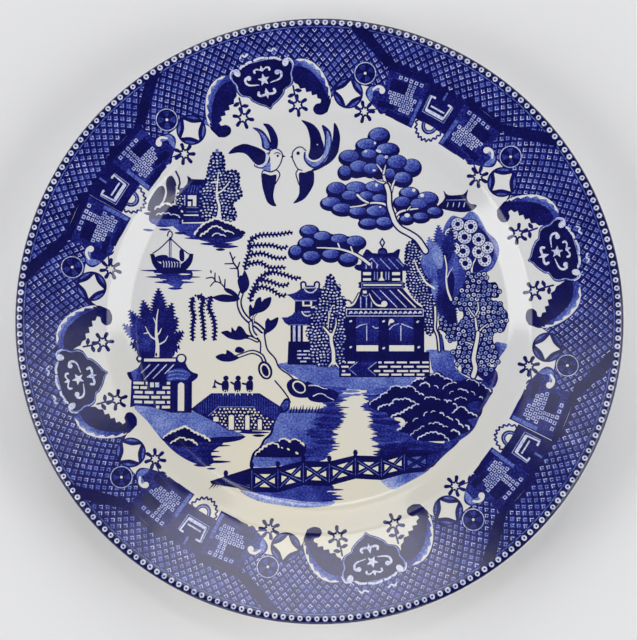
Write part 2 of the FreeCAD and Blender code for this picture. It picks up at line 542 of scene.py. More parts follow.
class Nodes:
    """A material's node tree with short calls for making and joining nodes."""

    def __init__(self, name):
        self.material = bpy.data.materials.new(name)
        self.material.use_nodes = True
        self.tree = self.material.node_tree
        self.tree.nodes.clear()
        self.shader = self.make("ShaderNodeBsdfPrincipled")
        output = self.make("ShaderNodeOutputMaterial")
        self.tree.links.new(self.shader.outputs[0], output.inputs["Surface"])

    def make(self, kind, **values):
        """A new node with these properties."""
        node = self.tree.nodes.new(kind)
        for key, value in values.items():
            setattr(node, key, value)
        return node

    def join(self, source, target):
        """A link from an output socket to an input socket."""
        self.tree.links.new(source, target)

    def noise(self, scale, detail=3.0, rough=0.55, seed_offset=0.0):
        """Noise fixed to the object. A larger scale is a finer grain."""
        coords = self.make("ShaderNodeTexCoord")
        place = self.make("ShaderNodeMapping")
        place.inputs["Location"].default_value = (seed_offset, seed_offset, seed_offset)
        self.join(coords.outputs["Object"], place.inputs["Vector"])
        node = self.make("ShaderNodeTexNoise")
        node.inputs["Scale"].default_value = scale
        node.inputs["Detail"].default_value = detail
        node.inputs["Roughness"].default_value = rough
        self.join(place.outputs[0], node.inputs["Vector"])
        return node.outputs["Fac"]

    def maths(self, operation, a, b, clamp=False):
        """The result of a Math node on two values, each a number or a socket."""
        node = self.make("ShaderNodeMath", operation=operation, use_clamp=clamp)
        for value, socket in ((a, node.inputs[0]), (b, node.inputs[1])):
            if isinstance(value, (int, float)):
                socket.default_value = value
            else:
                self.join(value, socket)
        return node.outputs[0]

    def remap(self, value, low, high, to_low, to_high):
        """A value moved evenly from one range to another."""
        node = self.make("ShaderNodeMapRange")
        for key, number in (("From Min", low), ("From Max", high), ("To Min", to_low), ("To Max", to_high)):
            node.inputs[key].default_value = number
        self.join(value, node.inputs["Value"])
        return node.outputs[0]

    def ramp(self, value, stops):
        """A colour picked along (place, colour) stops."""
        node = self.make("ShaderNodeValToRGB")
        points = node.color_ramp.elements
        while len(points) < len(stops):
            points.new(0.5)
        for point, (place, colour) in zip(points, stops):
            point.position = place
            point.color = colour
        self.join(value, node.inputs["Fac"])
        return node.outputs["Color"]

    def bump(self, height, distance, strength=1.0):
        """Bumps up to a height in metres on the shader."""
        node = self.make("ShaderNodeBump")
        node.inputs["Strength"].default_value = strength
        node.inputs["Distance"].default_value = distance
        self.join(height, node.inputs["Height"])
        self.join(node.outputs[0], self.shader.inputs["Normal"])

    def set(self, **values):
        """Constants on the shader's own sockets."""
        for key, value in values.items():
            self.shader.inputs[key.replace("_", " ")].default_value = value


def glaze_skin(nodes):
    """What every glazed surface shares: a deep gloss with the faint waviness of a dipped glaze."""
    nodes.set(Roughness=0.13, IOR=1.52)
    nodes.bump(nodes.noise(60.0, 2.0, 0.4), 0.00012)


# Where the glaze is warmest, in metres, and the distances over which that fades.
WARM_SPOT = (-0.008, -0.066, 0.0)
WARM_REACH = (0.01, 0.11)


def make_glaze():
    """Cream glaze with a faint cloudiness, warmest low in the well."""
    nodes = Nodes("cream_glaze")
    coords = nodes.make("ShaderNodeTexCoord")
    away = nodes.make("ShaderNodeVectorMath", operation="DISTANCE")
    nodes.join(coords.outputs["Object"], away.inputs[0])
    away.inputs[1].default_value = WARM_SPOT
    far = nodes.remap(away.outputs["Value"], *WARM_REACH, 0.0, 1.0)
    cloud = nodes.remap(nodes.noise(14.0, 3.0, 0.5), 0.3, 0.7, -0.15, 0.15)
    colour = nodes.ramp(nodes.maths("ADD", far, cloud, clamp=True), [
        (0.0, srgb(234, 227, 204)),
        (0.4, srgb(229, 225, 213)),
        (0.75, srgb(226, 225, 220)),
        (1.0, srgb(226, 226, 226)),
    ])
    nodes.join(colour, nodes.shader.inputs["Base Color"])
    glaze_skin(nodes)
    return nodes.material


def make_clay():
    """Unglazed fired clay, fine-grained and matt."""
    nodes = Nodes("bare_clay")
    grain = nodes.noise(900.0, 3.0, 0.6)
    colour = nodes.ramp(grain, [(0.3, srgb(196, 186, 168)), (0.7, srgb(215, 206, 189))])
    nodes.join(colour, nodes.shader.inputs["Base Color"])
    nodes.set(Roughness=0.85)
    nodes.bump(grain, 0.00006)
    return nodes.material


def make_cobalt():
    """Transfer-printed cobalt under the glaze, pooled and stippled, from a pale wash to near black."""
    nodes = Nodes("cobalt_under_glaze")
    ink = nodes.make("ShaderNodeAttribute", attribute_name="ink", attribute_type="GEOMETRY").outputs["Fac"]
    pooled = nodes.remap(nodes.noise(150.0, 3.0, 0.5), 0.3, 0.7, -0.08, 0.08)
    grain = nodes.remap(nodes.noise(1300.0, 2.0, 0.6, 3.0), 0.35, 0.65, -0.11, 0.11)
    mixed = nodes.maths("ADD", nodes.maths("ADD", ink, pooled), grain, clamp=True)
    colour = nodes.ramp(mixed, [
        (0.08, srgb(219, 222, 237)),
        (0.22, srgb(160, 172, 224)),
        (0.4, srgb(104, 123, 196)),
        (0.6, srgb(52, 64, 160)),
        (0.8, srgb(17, 17, 104)),
        (1.0, srgb(4, 4, 70)),
    ])
    nodes.join(colour, nodes.shader.inputs["Base Color"])
    glaze_skin(nodes)
    return nodes.material


GLAZE_FINISH = make_glaze()
CLAY_FINISH = make_clay()
COBALT = make_cobalt()


# ---- The plate ----

def make_plate():
    """The clay body, the glaze from the well over the lip to the foot, and the glaze inside the foot."""
    body = turned("earthenware_body", flat_runs_split(rounded(CLAY)))
    show(body, "earthenware", CLAY_FINISH, "earthenware_body")
    foot_outside = (FOOT_OUTER_RADIUS, GLAZE_LINE, 0.0)
    glazed_foot_outside = (FOOT_OUTER_RADIUS + GLAZE_THICKNESS, GLAZE_LINE, 0.0)
    top = flat_runs_split(rounded(GLAZE[:FOOT_CORNER] + [glazed_foot_outside], 2.0))
    under = flat_runs_split(rounded(CLAY[:FOOT_CORNER] + [foot_outside]))
    outer = turned("outer_glaze", top + under[::-1])
    show(outer, "glaze", GLAZE_FINISH, "outer_glaze")
    foot_inside = (FOOT_INNER_RADIUS, GLAZE_LINE, 0.0)
    glazed_foot_inside = (FOOT_INNER_RADIUS - GLAZE_THICKNESS, GLAZE_LINE, 0.0)
    top = flat_runs_split(rounded([glazed_foot_inside] + GLAZE[RECESS_CORNER:]))
    under = flat_runs_split(rounded([foot_inside] + CLAY[RECESS_CORNER:]))
    base = turned("base_glaze", under[::-1] + top)
    show(base, "glaze", GLAZE_FINISH, "base_glaze")


make_plate()


# ---- The border, drawn in degrees clockwise from a middle and millimetres from the plate's axis ----

BORDER_DEGREE = 1.8326  # millimetres along one degree of the border, at radius 105
BORDER_SEED = 7
BORDER_SCALE = 0.9987
BORDER_PLACE = (-0.2, 0.25)
BEADS = 225
BAND_START = 123.75
BEAD_RING = 125.3
BAND_EDGE = 127.5
LATTICE_TOP = 123.3
LATTICE_STEPS = 206
LATTICE_ROW = 1.98
LATTICE_ROWS = 16
CELL_HALF = 1.62
FLOOR_STEP = 0.5
DARK, DEEP, MID, LIGHT, WHITE, BARE = 0.93, 0.78, 0.62, 0.42, 0.1, 0.0

# Where the gears and the cartouches stand, in degrees from +X.  Each cartouche follows its gear clockwise.
GEARS = (60.2, -32.3, -121.0, -212.8)
CARTOUCHES = (15.65, -77.7, -165.8, -257.05)
# The degrees between them for which the art is drawn.  It is stretched to fill any other gap.
UNIT_SPAN = 44.4


def wide(points):
    """Border places given in degrees, as millimetres along the border."""
    return [(BORDER_DEGREE * d, r) for d, r in points]


def mirrored(points):
    """A closed outline from its right half, listed from top to bottom."""
    return list(points) + [(-x, y) for x, y in reversed(points) if abs(x) > 1e-6]


def both_sides(art):
    """The art and its mirror image."""
    return art + moved(art, flip=True)


def lattice_floor(from_gear, from_cartouche):
    """The radius where the lattice band ends on its inner side."""
    gear_side = np.interp(from_gear, [0, 4.8, 4.9, 13.0, 13.5, 24, 27, 28],
                          [110, 110, 112, 112, 101, 101, 96, 93])
    leaf_side = np.interp(from_cartouche, [0, 6.6, 7.5, 10.5, 14, 16.5, 17.5],
                          [111, 110, 109, 108, 103.5, 94, 93])
    return max(gear_side, leaf_side)


def stretch_between(first, second):
    """The stretch of the art that fills the gap clockwise from the first place to the second."""
    return (first - second) % 360.0 / UNIT_SPAN


def nearest_floor(angle):
    """The radius where the lattice band ends, at an angle from +X."""
    places = [(gear, True) for gear in GEARS] + [(cartouche, False) for cartouche in CARTOUCHES]
    places.sort(key=lambda place: (angle - place[0]) % 360.0)
    (after, after_is_gear), (before, _) = places[0], places[-1]
    stretch = stretch_between(before, after)
    ahead = (before - angle) % 360.0 / stretch
    behind = (angle - after) % 360.0 / stretch
    return lattice_floor(behind, ahead) if after_is_gear else lattice_floor(ahead, behind)


def draw_lattice(rng):
    """Diamonds between dark lines, each with a light V and a small dot."""
    art = []
    for k in range(int(360.0 / FLOOR_STEP)):
        a, b = k * FLOOR_STEP, (k + 1) * FLOOR_STEP
        low_a, low_b = nearest_floor(a), nearest_floor(b)
        ring = [(a, low_a), (b, low_b), (b, LATTICE_TOP), (a, LATTICE_TOP)]
        art += patch([(r * math.cos(math.radians(d)), r * math.sin(math.radians(d))) for d, r in ring], DARK)
    pitch = 360.0 / LATTICE_STEPS
    for row in range(LATTICE_ROWS):
        r = LATTICE_TOP - 1.1 - row * LATTICE_ROW
        for k in range(LATTICE_STEPS):
            angle = (k + 0.5 * (row % 2)) * pitch
            if r - 1.2 < nearest_floor(angle):
                continue
            half = 0.5 * math.radians(pitch) * r
            diamond = [(0, CELL_HALF), (-half * 0.8, 0), (0, -CELL_HALF), (half * 0.8, 0)]
            cell = patch(diamond, DEEP - 0.05 + rng.uniform(-0.08, 0.08))
            light = rng.choice((0.14, 0.22, 0.3, 0.38))
            arm = half * 0.52
            cell += stroke([(-arm, 0.25), (0, -0.85), (arm * 0.9, 0.3)], 0.36, light, ends=False)
            cell += patch([(-0.28, 0.3), (0.28, 0.3), (0.22, 0.78), (-0.24, 0.75)],
                          0.4 + rng.uniform(-0.1, 0.1))
            art += on_ring(cell, angle, r)
    return art


def draw_beads(rng):
    """The dark band along the lip with its ring of little white beads, and the light line inside it."""
    art = []
    pitch = 360.0 / BEADS
    for k in range(BEADS):
        a, b = math.radians(k * pitch), math.radians((k + 1) * pitch)
        for low, high, ink in ((LATTICE_TOP, BAND_START, 0.5), (BAND_START, BAND_EDGE, 1.0)):
            art += patch([(low * math.cos(a), low * math.sin(a)), (high * math.cos(a), high * math.sin(a)),
                          (high * math.cos(b), high * math.sin(b)), (low * math.cos(b), low * math.sin(b))],
                         ink)
        size = rng.uniform(1.05, 1.2)
        bead = blob(oval(0, 0, size, size * 1.02, steps=8), WHITE, 2)
        bead += patch(oval(rng.uniform(-0.1, 0.1), rng.uniform(-0.1, 0.1), 0.45, 0.5, steps=6), 0.9)
        art += on_ring(bead, (k + 0.5) * pitch, BEAD_RING)
    return art


def brick(x, y, size=1.45):
    """A little light square with a dark middle."""
    return patch(square(x, y, size), 0.2) + patch(square(x, y, 0.5 * size), 0.8)


def draw_fret_panel():
    """The right-hand stepped panel with its strap, scroll end and rows of little bricks."""
    art = patch(wide([(21.0, 124.0), (24.6, 124.0), (15.6, 110.5), (13.0, 112.3)]), 0.97)
    art += patch(wide([(4.2, 112.4), (14.6, 112.4), (14.6, 104.0), (13.4, 92.4), (9.0, 90.7), (4.2, 90.4)]),
                 DEEP)
    art += blob(wide([(12.6, 91.9), (15.2, 93.0), (17.6, 95.4), (18.9, 98.0), (18.4, 101.0), (16.6, 102.6),
                      (14.0, 103.0), (12.8, 98.0)]), DEEP)
    art += patch(wide([(4.2, 112.4), (14.6, 112.4), (14.6, 109.8), (4.2, 109.8)]), 0.95)
    art += patch(wide([(4.5, 102.5), (5.4, 102.5), (5.4, 91.2), (4.5, 91.2)]), LIGHT + 0.1)
    art += patch(wide([(5.4, 93.6), (12.4, 93.9), (12.4, 91.4), (5.4, 90.9)]), 0.9)
    art += patch(wide([(9.0, 106.6), (13.3, 106.6), (13.3, 102.0), (9.0, 102.0)]), 0.96)
    art += patch(wide([(10.8, 97.0), (15.0, 96.6), (15.0, 94.0), (10.8, 94.4)]), 0.96)
    for d in (6.3, 7.6, 8.9, 10.2, 11.5):
        art += brick(BORDER_DEGREE * d, 108.0)
    for r in (106.1, 104.3, 102.6):
        for d in (7.7, 8.75):
            art += brick(BORDER_DEGREE * d, r, 1.3)
    for row, (r, bricks) in enumerate(((100.9, 7), (99.1, 6), (97.3, 6), (95.5, 3))):
        for k in range(bricks):
            art += brick(BORDER_DEGREE * (6.3 + 0.5 * (row % 2) + 1.1 * k), r)
    art += blob(wide([(17.2, 95.2), (16.9, 97.2), (17.0, 99.5), (15.6, 100.4), (16.0, 101.9), (18.0, 100.8),
                      (18.4, 98.0)]), LIGHT)
    curl = smooth(wide([(17.2, 100.2), (16.2, 101.9), (15.0, 101.7), (14.9, 100.6)]), False)
    art += stroke(curl, 0.9, BARE, 1.5)
    art += patch(oval(BORDER_DEGREE * 14.9, 100.7, 1.35), BARE)
    return art


def draw_gear_block():
    """The middle block with its nested white U and the toothed half wheel below."""
    art = patch(wide([(-4.4, 111.4), (4.4, 111.4), (4.4, 94.8), (-4.4, 94.8)]), 0.9)
    art += stroke(wide([(-0.2, 110.0), (-0.2, 106.5)]), 0.8, 0.5, ends=False)
    art += stroke(wide([(-3.4, 106.0), (-3.4, 98.6), (2.6, 98.6), (2.6, 106.0)]), 0.42, 0.3, ends=False)
    art += stroke(wide([(-2.1, 105.8), (-3.0, 105.8), (-2.8, 99.9), (2.0, 99.9), (2.2, 105.8),
                        (1.5, 105.8)]), 0.95, WHITE)
    art += patch(wide([(-3.0, 100.6), (2.2, 100.6), (2.0, 99.2), (-2.8, 99.2)]), WHITE)
    art += stroke(wide([(-2.1, 102.1), (1.5, 102.1)]), 0.7, 0.15, ends=False)
    centre = (-0.2, 94.9)
    teeth = [arc(*centre, 6.9 if k % 2 else 5.9, 182.0 + 9.8 * k, 183.0, 2)[0] for k in range(19)]
    art += curve(teeth, 0.8, DEEP, steps=3)
    for radius, ink in ((3.9, DEEP), (3.1, 0.35), (2.7, DEEP), (2.1, BARE)):
        art += patch(arc(*centre, radius, 180.0, 360.0, 24), ink)
    return art


def draw_wheel():
    """A dark wheel with four light sectors, beside the coin."""
    art = patch(oval(0, 0, 4.9, steps=32), DARK)
    art += patch(oval(0, 0, 4.65, steps=32), 0.22)
    art += patch(oval(0, 0, 4.25, steps=32), 0.97)
    for start in (55.0, 145.0, 235.0, 325.0):
        art += patch([(0, 0)] + arc(0, 0, 3.6, start - 22.0, start + 22.0, 8), MID + 0.1)
    art += patch(oval(0, 0, 1.1, steps=12), 0.97)
    return art + patch(oval(0, 0, 0.6, steps=10), BARE)


def lens(radius, start, end, bulge):
    """A petal between two angles of a circle, with its inner side drawn in towards the middle."""
    outer = arc(0, 0, radius, start, end, 14)
    (ax, ay), (bx, by) = outer[-1], outer[0]
    mx, my = 0.5 * (ax + bx), 0.5 * (ay + by)
    inner = smooth([(ax, ay), (mx * bulge, my * bulge), (bx, by)], False, 6)
    return outer + inner[1:-1]


def draw_coin(turn):
    """Four blue petals round a white square with hollow sides."""
    art = patch(oval(0, 0, 6.3, steps=40), 0.9)
    corners = [arc(0, 0, 5.3, turn + 90.0 * k, turn + 90.0 * k, 1)[0] for k in range(4)]
    square_sides = []
    for (ax, ay), (bx, by) in zip(corners, corners[1:] + corners[:1]):
        square_sides += smooth([(ax, ay), (0.4 * (ax + bx), 0.4 * (ay + by)), (bx, by)], False, 6)[:-1]
    art += patch(square_sides, BARE)
    for k in range(4):
        start = turn + 90.0 * k
        art += patch(lens(5.6, start + 17.0, start + 73.0, 0.93), MID - 0.08)
    return art


def draw_star_flower(turn, petals=6):
    """A white centre with dark petals like strokes of a brush."""
    art = []
    for reach, waist, ink in ((2.7, 1.95, 0.88), (1.7, 1.0, BARE)):
        art += patch(star(0, 0, reach, waist, petals, turn), ink)
    petal = smooth([(2.0, -0.5), (3.2, -0.78), (4.3, -0.65), (4.7, 0.1), (4.1, 0.75), (3.1, 0.65),
                    (2.0, 0.45)], True, 3)
    for k in range(petals):
        art += moved(patch(petal, 0.88), turn=turn + 360.0 * k / petals)
    return art


def draw_leaf():
    """The big scroll leaf on the cartouche's right: dark body, light serrated back and a ball at its tip."""
    back = wide([(6.4, 109.6), (9.0, 110.6), (11.6, 109.4), (13.8, 106.0), (15.4, 101.5), (16.5, 96.5),
                 (16.7, 92.5)])
    ball = wide([(15.9, 88.6), (14.2, 87.4), (12.4, 87.9), (11.8, 89.8), (12.6, 91.7), (13.8, 92.2),
                 (14.0, 93.6)])
    belly = wide([(13.0, 94.2), (12.9, 95.7), (11.6, 95.3), (11.4, 97.0), (10.1, 96.7), (9.9, 98.5),
                  (8.6, 98.3), (8.2, 100.0), (7.3, 100.9), (7.0, 102.6), (6.3, 105.0)])
    outline = smooth(back, False) + smooth(ball, False) + belly
    art = patch(outline, 0.93)
    inner = wide([(6.6, 107.6), (9.0, 107.6), (11.2, 105.8), (13.0, 102.6), (14.6, 98.6), (15.8, 94.5)])
    rim = smooth(back, False)
    light = rim[:-3] + smooth(inner, False)[::-1]
    top, low = wide([(13.2, 107.6)])[0], wide([(11.6, 103.6)])[0]
    art += patch(light, (0.22, 0.68, top, low))
    for d, r, turn in ((9.4, 108.2, -10.0), (11.0, 107.2, -28.0), (12.4, 105.2, -42.0), (13.6, 102.8, -52.0)):
        streak = moved(curve([(-1.6, 0.0), (0.0, 0.35), (1.8, 0.0)], 0.25, 0.7, 0.12), turn=turn)
        art += moved(streak, BORDER_DEGREE * d, r)
    teeth = []
    for i, (x, y) in enumerate(rim[3:-2]):
        pull = (0.45, 0.9, 1.35)[i % 3]
        teeth.append((x - pull * 0.8, y - pull * 0.75))
    art += patch(rim[3:-2] + teeth[::-1], 0.04)
    return art


def draw_cartouche():
    """The dark scalloped shield with its white star, scrolls and dashes."""
    right = wide([(0.0, 112.8), (3.2, 112.4), (5.4, 111.2), (7.2, 110.4), (7.5, 107.8), (6.9, 105.2),
                  (7.0, 102.6), (6.4, 100.2), (4.6, 98.6), (4.2, 97.0), (2.6, 94.6), (0.9, 93.0),
                  (0.0, 91.6)])
    outline = smooth(mirrored(right), True, 3)
    art = patch(outline, DEEP)
    shrunk = [(x * 0.955, 102.6 + (y - 102.6) * 0.955) for x, y in outline]
    art += patch(shrunk, 0.3)
    shrunk = [(x * 0.915, 102.6 + (y - 102.6) * 0.925) for x, y in outline]
    art += patch(shrunk, 0.98)
    art += patch(wide([(-4.0, 112.2), (4.0, 112.2), (4.0, 110.0), (-4.0, 110.0)]), 0.98)
    for a, b in ((-1.1, 1.7), (2.3, 4.4), (-3.1, -1.9), (-4.5, -3.6)):
        art += curve(wide([(a, 112.9 - 0.09 * a * a), (0.5 * (a + b), 113.0 - 0.08 * a * b),
                           (b, 112.9 - 0.09 * b * b)]), 0.95, WHITE)
    side = patch(oval(BORDER_DEGREE * 5.5, 109.8, 1.25, 1.7, -20.0), WHITE)
    side += curve(wide([(5.4, 110.9), (6.4, 111.1), (7.0, 110.0), (7.3, 108.4)]), 0.9, WHITE, 0.3)
    side += curve(wide([(1.4, 102.6), (3.4, 103.3), (4.2, 104.6), (4.1, 106.2), (3.2, 106.6)]),
                  0.3, WHITE, 1.3)
    side += patch(oval(BORDER_DEGREE * 3.3, 106.3, 1.0), WHITE)
    side += curve(wide([(0.4, 108.4), (1.1, 109.0), (1.7, 108.6), (1.7, 107.8)]), 0.5, WHITE, 0.9)
    side += curve(wide([(0.2, 98.2), (1.4, 98.0), (2.1, 98.6), (1.9, 99.6)]), 0.9, WHITE, 1.1)
    side += curve(wide([(4.0, 115.0), (3.4, 116.1), (2.9, 115.2), (2.2, 115.9)]), 0.55, WHITE, 0.8)
    art += both_sides(side)
    art += patch([(0, 110.2), (-0.8, 108.4), (-0.3, 107.8), (0.6, 107.8), (0.8, 108.4)], WHITE)
    art += patch([(0, 100.8), (-0.9, 98.8), (0, 96.2), (0.9, 98.8)], WHITE)
    return art + patch(star(0, 104.2, 2.6, 1.15, 5, 90.0), WHITE)


def draw_cartouche_flower():
    """The star flower beside a cartouche, on its little leafy stem."""
    art = curve([(1.2, 8.2), (0.9, 5.0), (0.3, 1.8)], 0.75, 0.85)
    art += blob([(0.8, 4.6), (2.4, 5.2), (4.0, 4.0), (2.6, 3.4)], 0.88, 3)
    art += blob([(0.8, 6.4), (-0.8, 7.0), (-2.4, 5.9), (-0.8, 5.2)], 0.88, 3)
    return art + draw_star_flower(30.0)


def draw_coin_flower():
    """The star flower between the coin and the fret panel, with a short leafy stalk."""
    art = curve([(-1.0, 1.0), (-3.4, 1.6), (-5.6, 2.3)], 0.55, 0.85)
    art += blob([(-5.0, 2.4), (-6.6, 1.6), (-7.8, 0.4), (-6.2, 0.7)], 0.88, 3)
    return art + draw_star_flower(15.0, 7)


def draw_border():
    """Sets the border's art round the rim and prints it."""
    rng = random.Random(BORDER_SEED)
    frets, coins, leaves, shields, flowers = [], [], [], [], []
    for k, (gear, cartouche) in enumerate(zip(GEARS, CARTOUCHES)):
        before, after = CARTOUCHES[k - 1], GEARS[(k + 1) % len(GEARS)]
        for side, flip, at_gear, at_cartouche in (
                (1.0, False, stretch_between(gear, cartouche), stretch_between(cartouche, after)),
                (-1.0, True, stretch_between(before, gear), stretch_between(gear, cartouche))):
            frets += bent(moved(draw_fret_panel(), flip=flip), gear, at_gear)
            leaves += bent(moved(draw_leaf(), flip=flip), cartouche, at_cartouche)
            coins += on_ring(moved(draw_coin(94.0), flip=flip), gear - side * 23.3 * at_gear, 96.9)
            coins += on_ring(moved(draw_wheel(), flip=flip), gear - side * 19.9 * at_gear, 106.1)
            flowers += on_ring(moved(draw_coin_flower(), flip=flip), gear - side * 18.2 * at_gear, 90.6)
            flowers += on_ring(moved(draw_cartouche_flower(), flip=not flip),
                               cartouche - side * 7.6 * at_cartouche, 91.6)
        frets += bent(draw_gear_block(), gear)
        shields += bent(draw_cartouche(), cartouche)
    layers = [
        ("bead_band", draw_beads(rng)),
        ("lattice_band", draw_lattice(rng)),
        ("border_leaves", leaves),
        ("border_coins", coins),
        ("border_frets", frets),
        ("border_cartouches", shields),
        ("border_flowers", flowers),
    ]
    printed([(name, moved(art, *BORDER_PLACE, scale=BORDER_SCALE)) for name, art in layers])


draw_border()


# ---- The scene in the well, in millimetres across and up from the plate's middle ----

CENTRE_SEED = 11
CENTRE_SCALE = 1.013


def distances(points):
    """How far along a line each of its points is."""
    return np.concatenate(([0.0], np.cumsum(np.linalg.norm(np.diff(points, axis=0), axis=1))))


def frond(points, width=0.9, barb=0.95, ink=0.9, gap=1.55):
    """A curved spine with short thick barbs on both sides, leaning forward."""
    line = smooth(points, False, 6)
    art = stroke(line, width, ink, width * 0.7)
    p = np.array(line)
    along = distances(p)
    for i, at in enumerate(np.arange(0.2, along[-1], gap * 0.5)):
        ahead = min(at + 0.5, along[-1] + 0.01)
        x, y = np.interp(at, along, p[:, 0]), np.interp(at, along, p[:, 1])
        dx, dy = np.interp(ahead, along, p[:, 0]) - x, np.interp(ahead, along, p[:, 1]) - y
        side = 1.0 if i % 2 else -1.0
        reach = side * (0.5 * width + barb * (1.0 - 0.4 * at / along[-1]))
        art += moved(patch([(-0.55 * gap, 0.0), (0.35 * gap, 0.0), (0.3 * gap, reach),
                            (0.02 * gap, reach * 1.05)], ink), x, y, math.degrees(math.atan2(dy, dx)))
    return art


def plume(root, tip, width, ink, lean=0.12, tooth=1.25):
    """A feathery leaf spray from a root to a pointed tip, with serrated sides."""
    (ax, ay), (bx, by) = root, tip
    length = math.hypot(bx - ax, by - ay)
    heading = math.degrees(math.atan2(by - ay, bx - ax))
    count = max(4, round(length / tooth))
    sides = []
    for side in (1.0, -1.0):
        row = []
        for k in range(count):
            t = (k + 0.5) / count
            half = 0.5 * width * math.sin(math.pi * (0.12 + 0.88 * t) ** 1.25)
            row.append((length * (t - 0.2 / count), side * half * 0.72 + lean * length * t * (1 - t)))
            row.append((length * (t + 0.62 / count), side * (half + 0.45) + lean * length * t * (1 - t)))
        sides.append(row)
    return moved(patch([(0.0, 0.0)] + sides[1] + [(length, 0.0)] + sides[0][::-1], ink), ax, ay, heading)


def on_outline(outline, spacing):
    """Places at even spacing along a closed outline."""
    p = np.array(outline + outline[:1], float)
    along = distances(p)
    count = max(3, round(along[-1] / spacing))
    at = [along[-1] * k / count for k in range(count)]
    return list(zip(np.interp(at, along, p[:, 0]), np.interp(at, along, p[:, 1])))


def scattered(outline, across, up, rng):
    """Places in staggered rows inside an outline, each a little out of line."""
    box_points = np.array(outline)
    low, high = box_points.min(axis=0), box_points.max(axis=0)
    spots = []
    y = low[1] + 0.4 * up
    while y < high[1]:
        x = low[0] + rng.uniform(0.0, across)
        while x < high[0]:
            spots.append((x, y + rng.uniform(-0.16, 0.16) * up + 0.2 * up * math.sin(0.9 * x)))
            x += across * rng.uniform(0.88, 1.14)
        y += up
    inside = holds(outline, np.array(spots))
    return [spot for spot, keep in zip(spots, inside) if keep]


def beaded_tree(points, rng, pitch=1.5, ink=0.92):
    """Foliage as a dark mass with a scalloped edge and rows of small light beads."""
    outline = smooth(points, True, 5)
    art = patch(outline, ink)
    for x, y in on_outline(outline, pitch * 1.05):
        art += patch(oval(x, y, 0.52 * pitch, steps=8), ink)
    for x, y in scattered(outline, pitch, pitch * 0.88, rng):
        size = 0.34 * pitch * rng.uniform(0.85, 1.2)
        art += patch(oval(x, y, size, size * 0.62, rng.uniform(-35, 35), 8), rng.choice((0.1, 0.1, 0.2, 0.3)))
    return art


def ragged(points, tooth, spacing, ink, rng):
    """A filled shape whose smooth outline carries small pointed teeth."""
    outline = smooth(points, True, 5)
    art = patch(outline, ink)
    places = on_outline(outline, spacing)
    for (x, y), (nx, ny) in zip(places, places[1:] + places[:1]):
        turn = math.degrees(math.atan2(ny - y, nx - x)) + rng.uniform(-20, 20)
        size = tooth * rng.uniform(0.7, 1.2)
        art += moved(patch([(-0.45 * spacing, size * 0.3), (0.5 * spacing, size * 0.3), (0.1, -size)], ink),
                     x, y, turn)
    return art


def water(lines, ink, rng, height=0.8):
    """Level brush strokes, pointed at both ends; each is (left, right, height above the middle)."""
    art = []
    for left, right, y in lines:
        span = right - left
        h = height * rng.uniform(0.8, 1.25)
        art += blob([(left, y + 0.1), (left + 0.3 * span, y + 0.5 * h), (left + 0.7 * span, y + 0.45 * h),
                     (right, y), (left + 0.65 * span, y - 0.5 * h), (left + 0.25 * span, y - 0.45 * h)],
                    ink, 3)
    return art


def bricks(rows, height, ink=BARE):
    """White bricks; each row is (height above the middle, (left, right), ...)."""
    art = []
    for y, *spans in rows:
        for left, right in spans:
            art += patch([(left, y - height / 2), (right, y - height / 2), (right, y + height / 2),
                          (left, y + height / 2)], ink)
    return art


def ridge(points, rng, width=0.7, ink=BARE):
    """A white scalloped line along the top of a rock: a row of small bulges over a drawn path."""
    p = np.array(smooth(points, False, 4))
    along = distances(p)
    count = max(1, round(along[-1] / 1.9))
    at = np.linspace(0.0, along[-1], count + 1)
    at[1:-1] += [rng.uniform(-0.35, 0.35) for _ in range(count - 1)]
    knots = list(zip(np.interp(at, along, p[:, 0]), np.interp(at, along, p[:, 1])))
    art = []
    for (ax, ay), (bx, by) in zip(knots, knots[1:]):
        bulge = 0.22 * rng.uniform(0.7, 1.4)
        top = (0.5 * (ax + bx) - bulge * (by - ay), 0.5 * (ay + by) + bulge * (bx - ax))
        art += curve([(ax, ay), top, (bx, by)], width * rng.uniform(0.6, 1.35),
                     ink, width * rng.uniform(0.6, 1.35), 3)
    return art


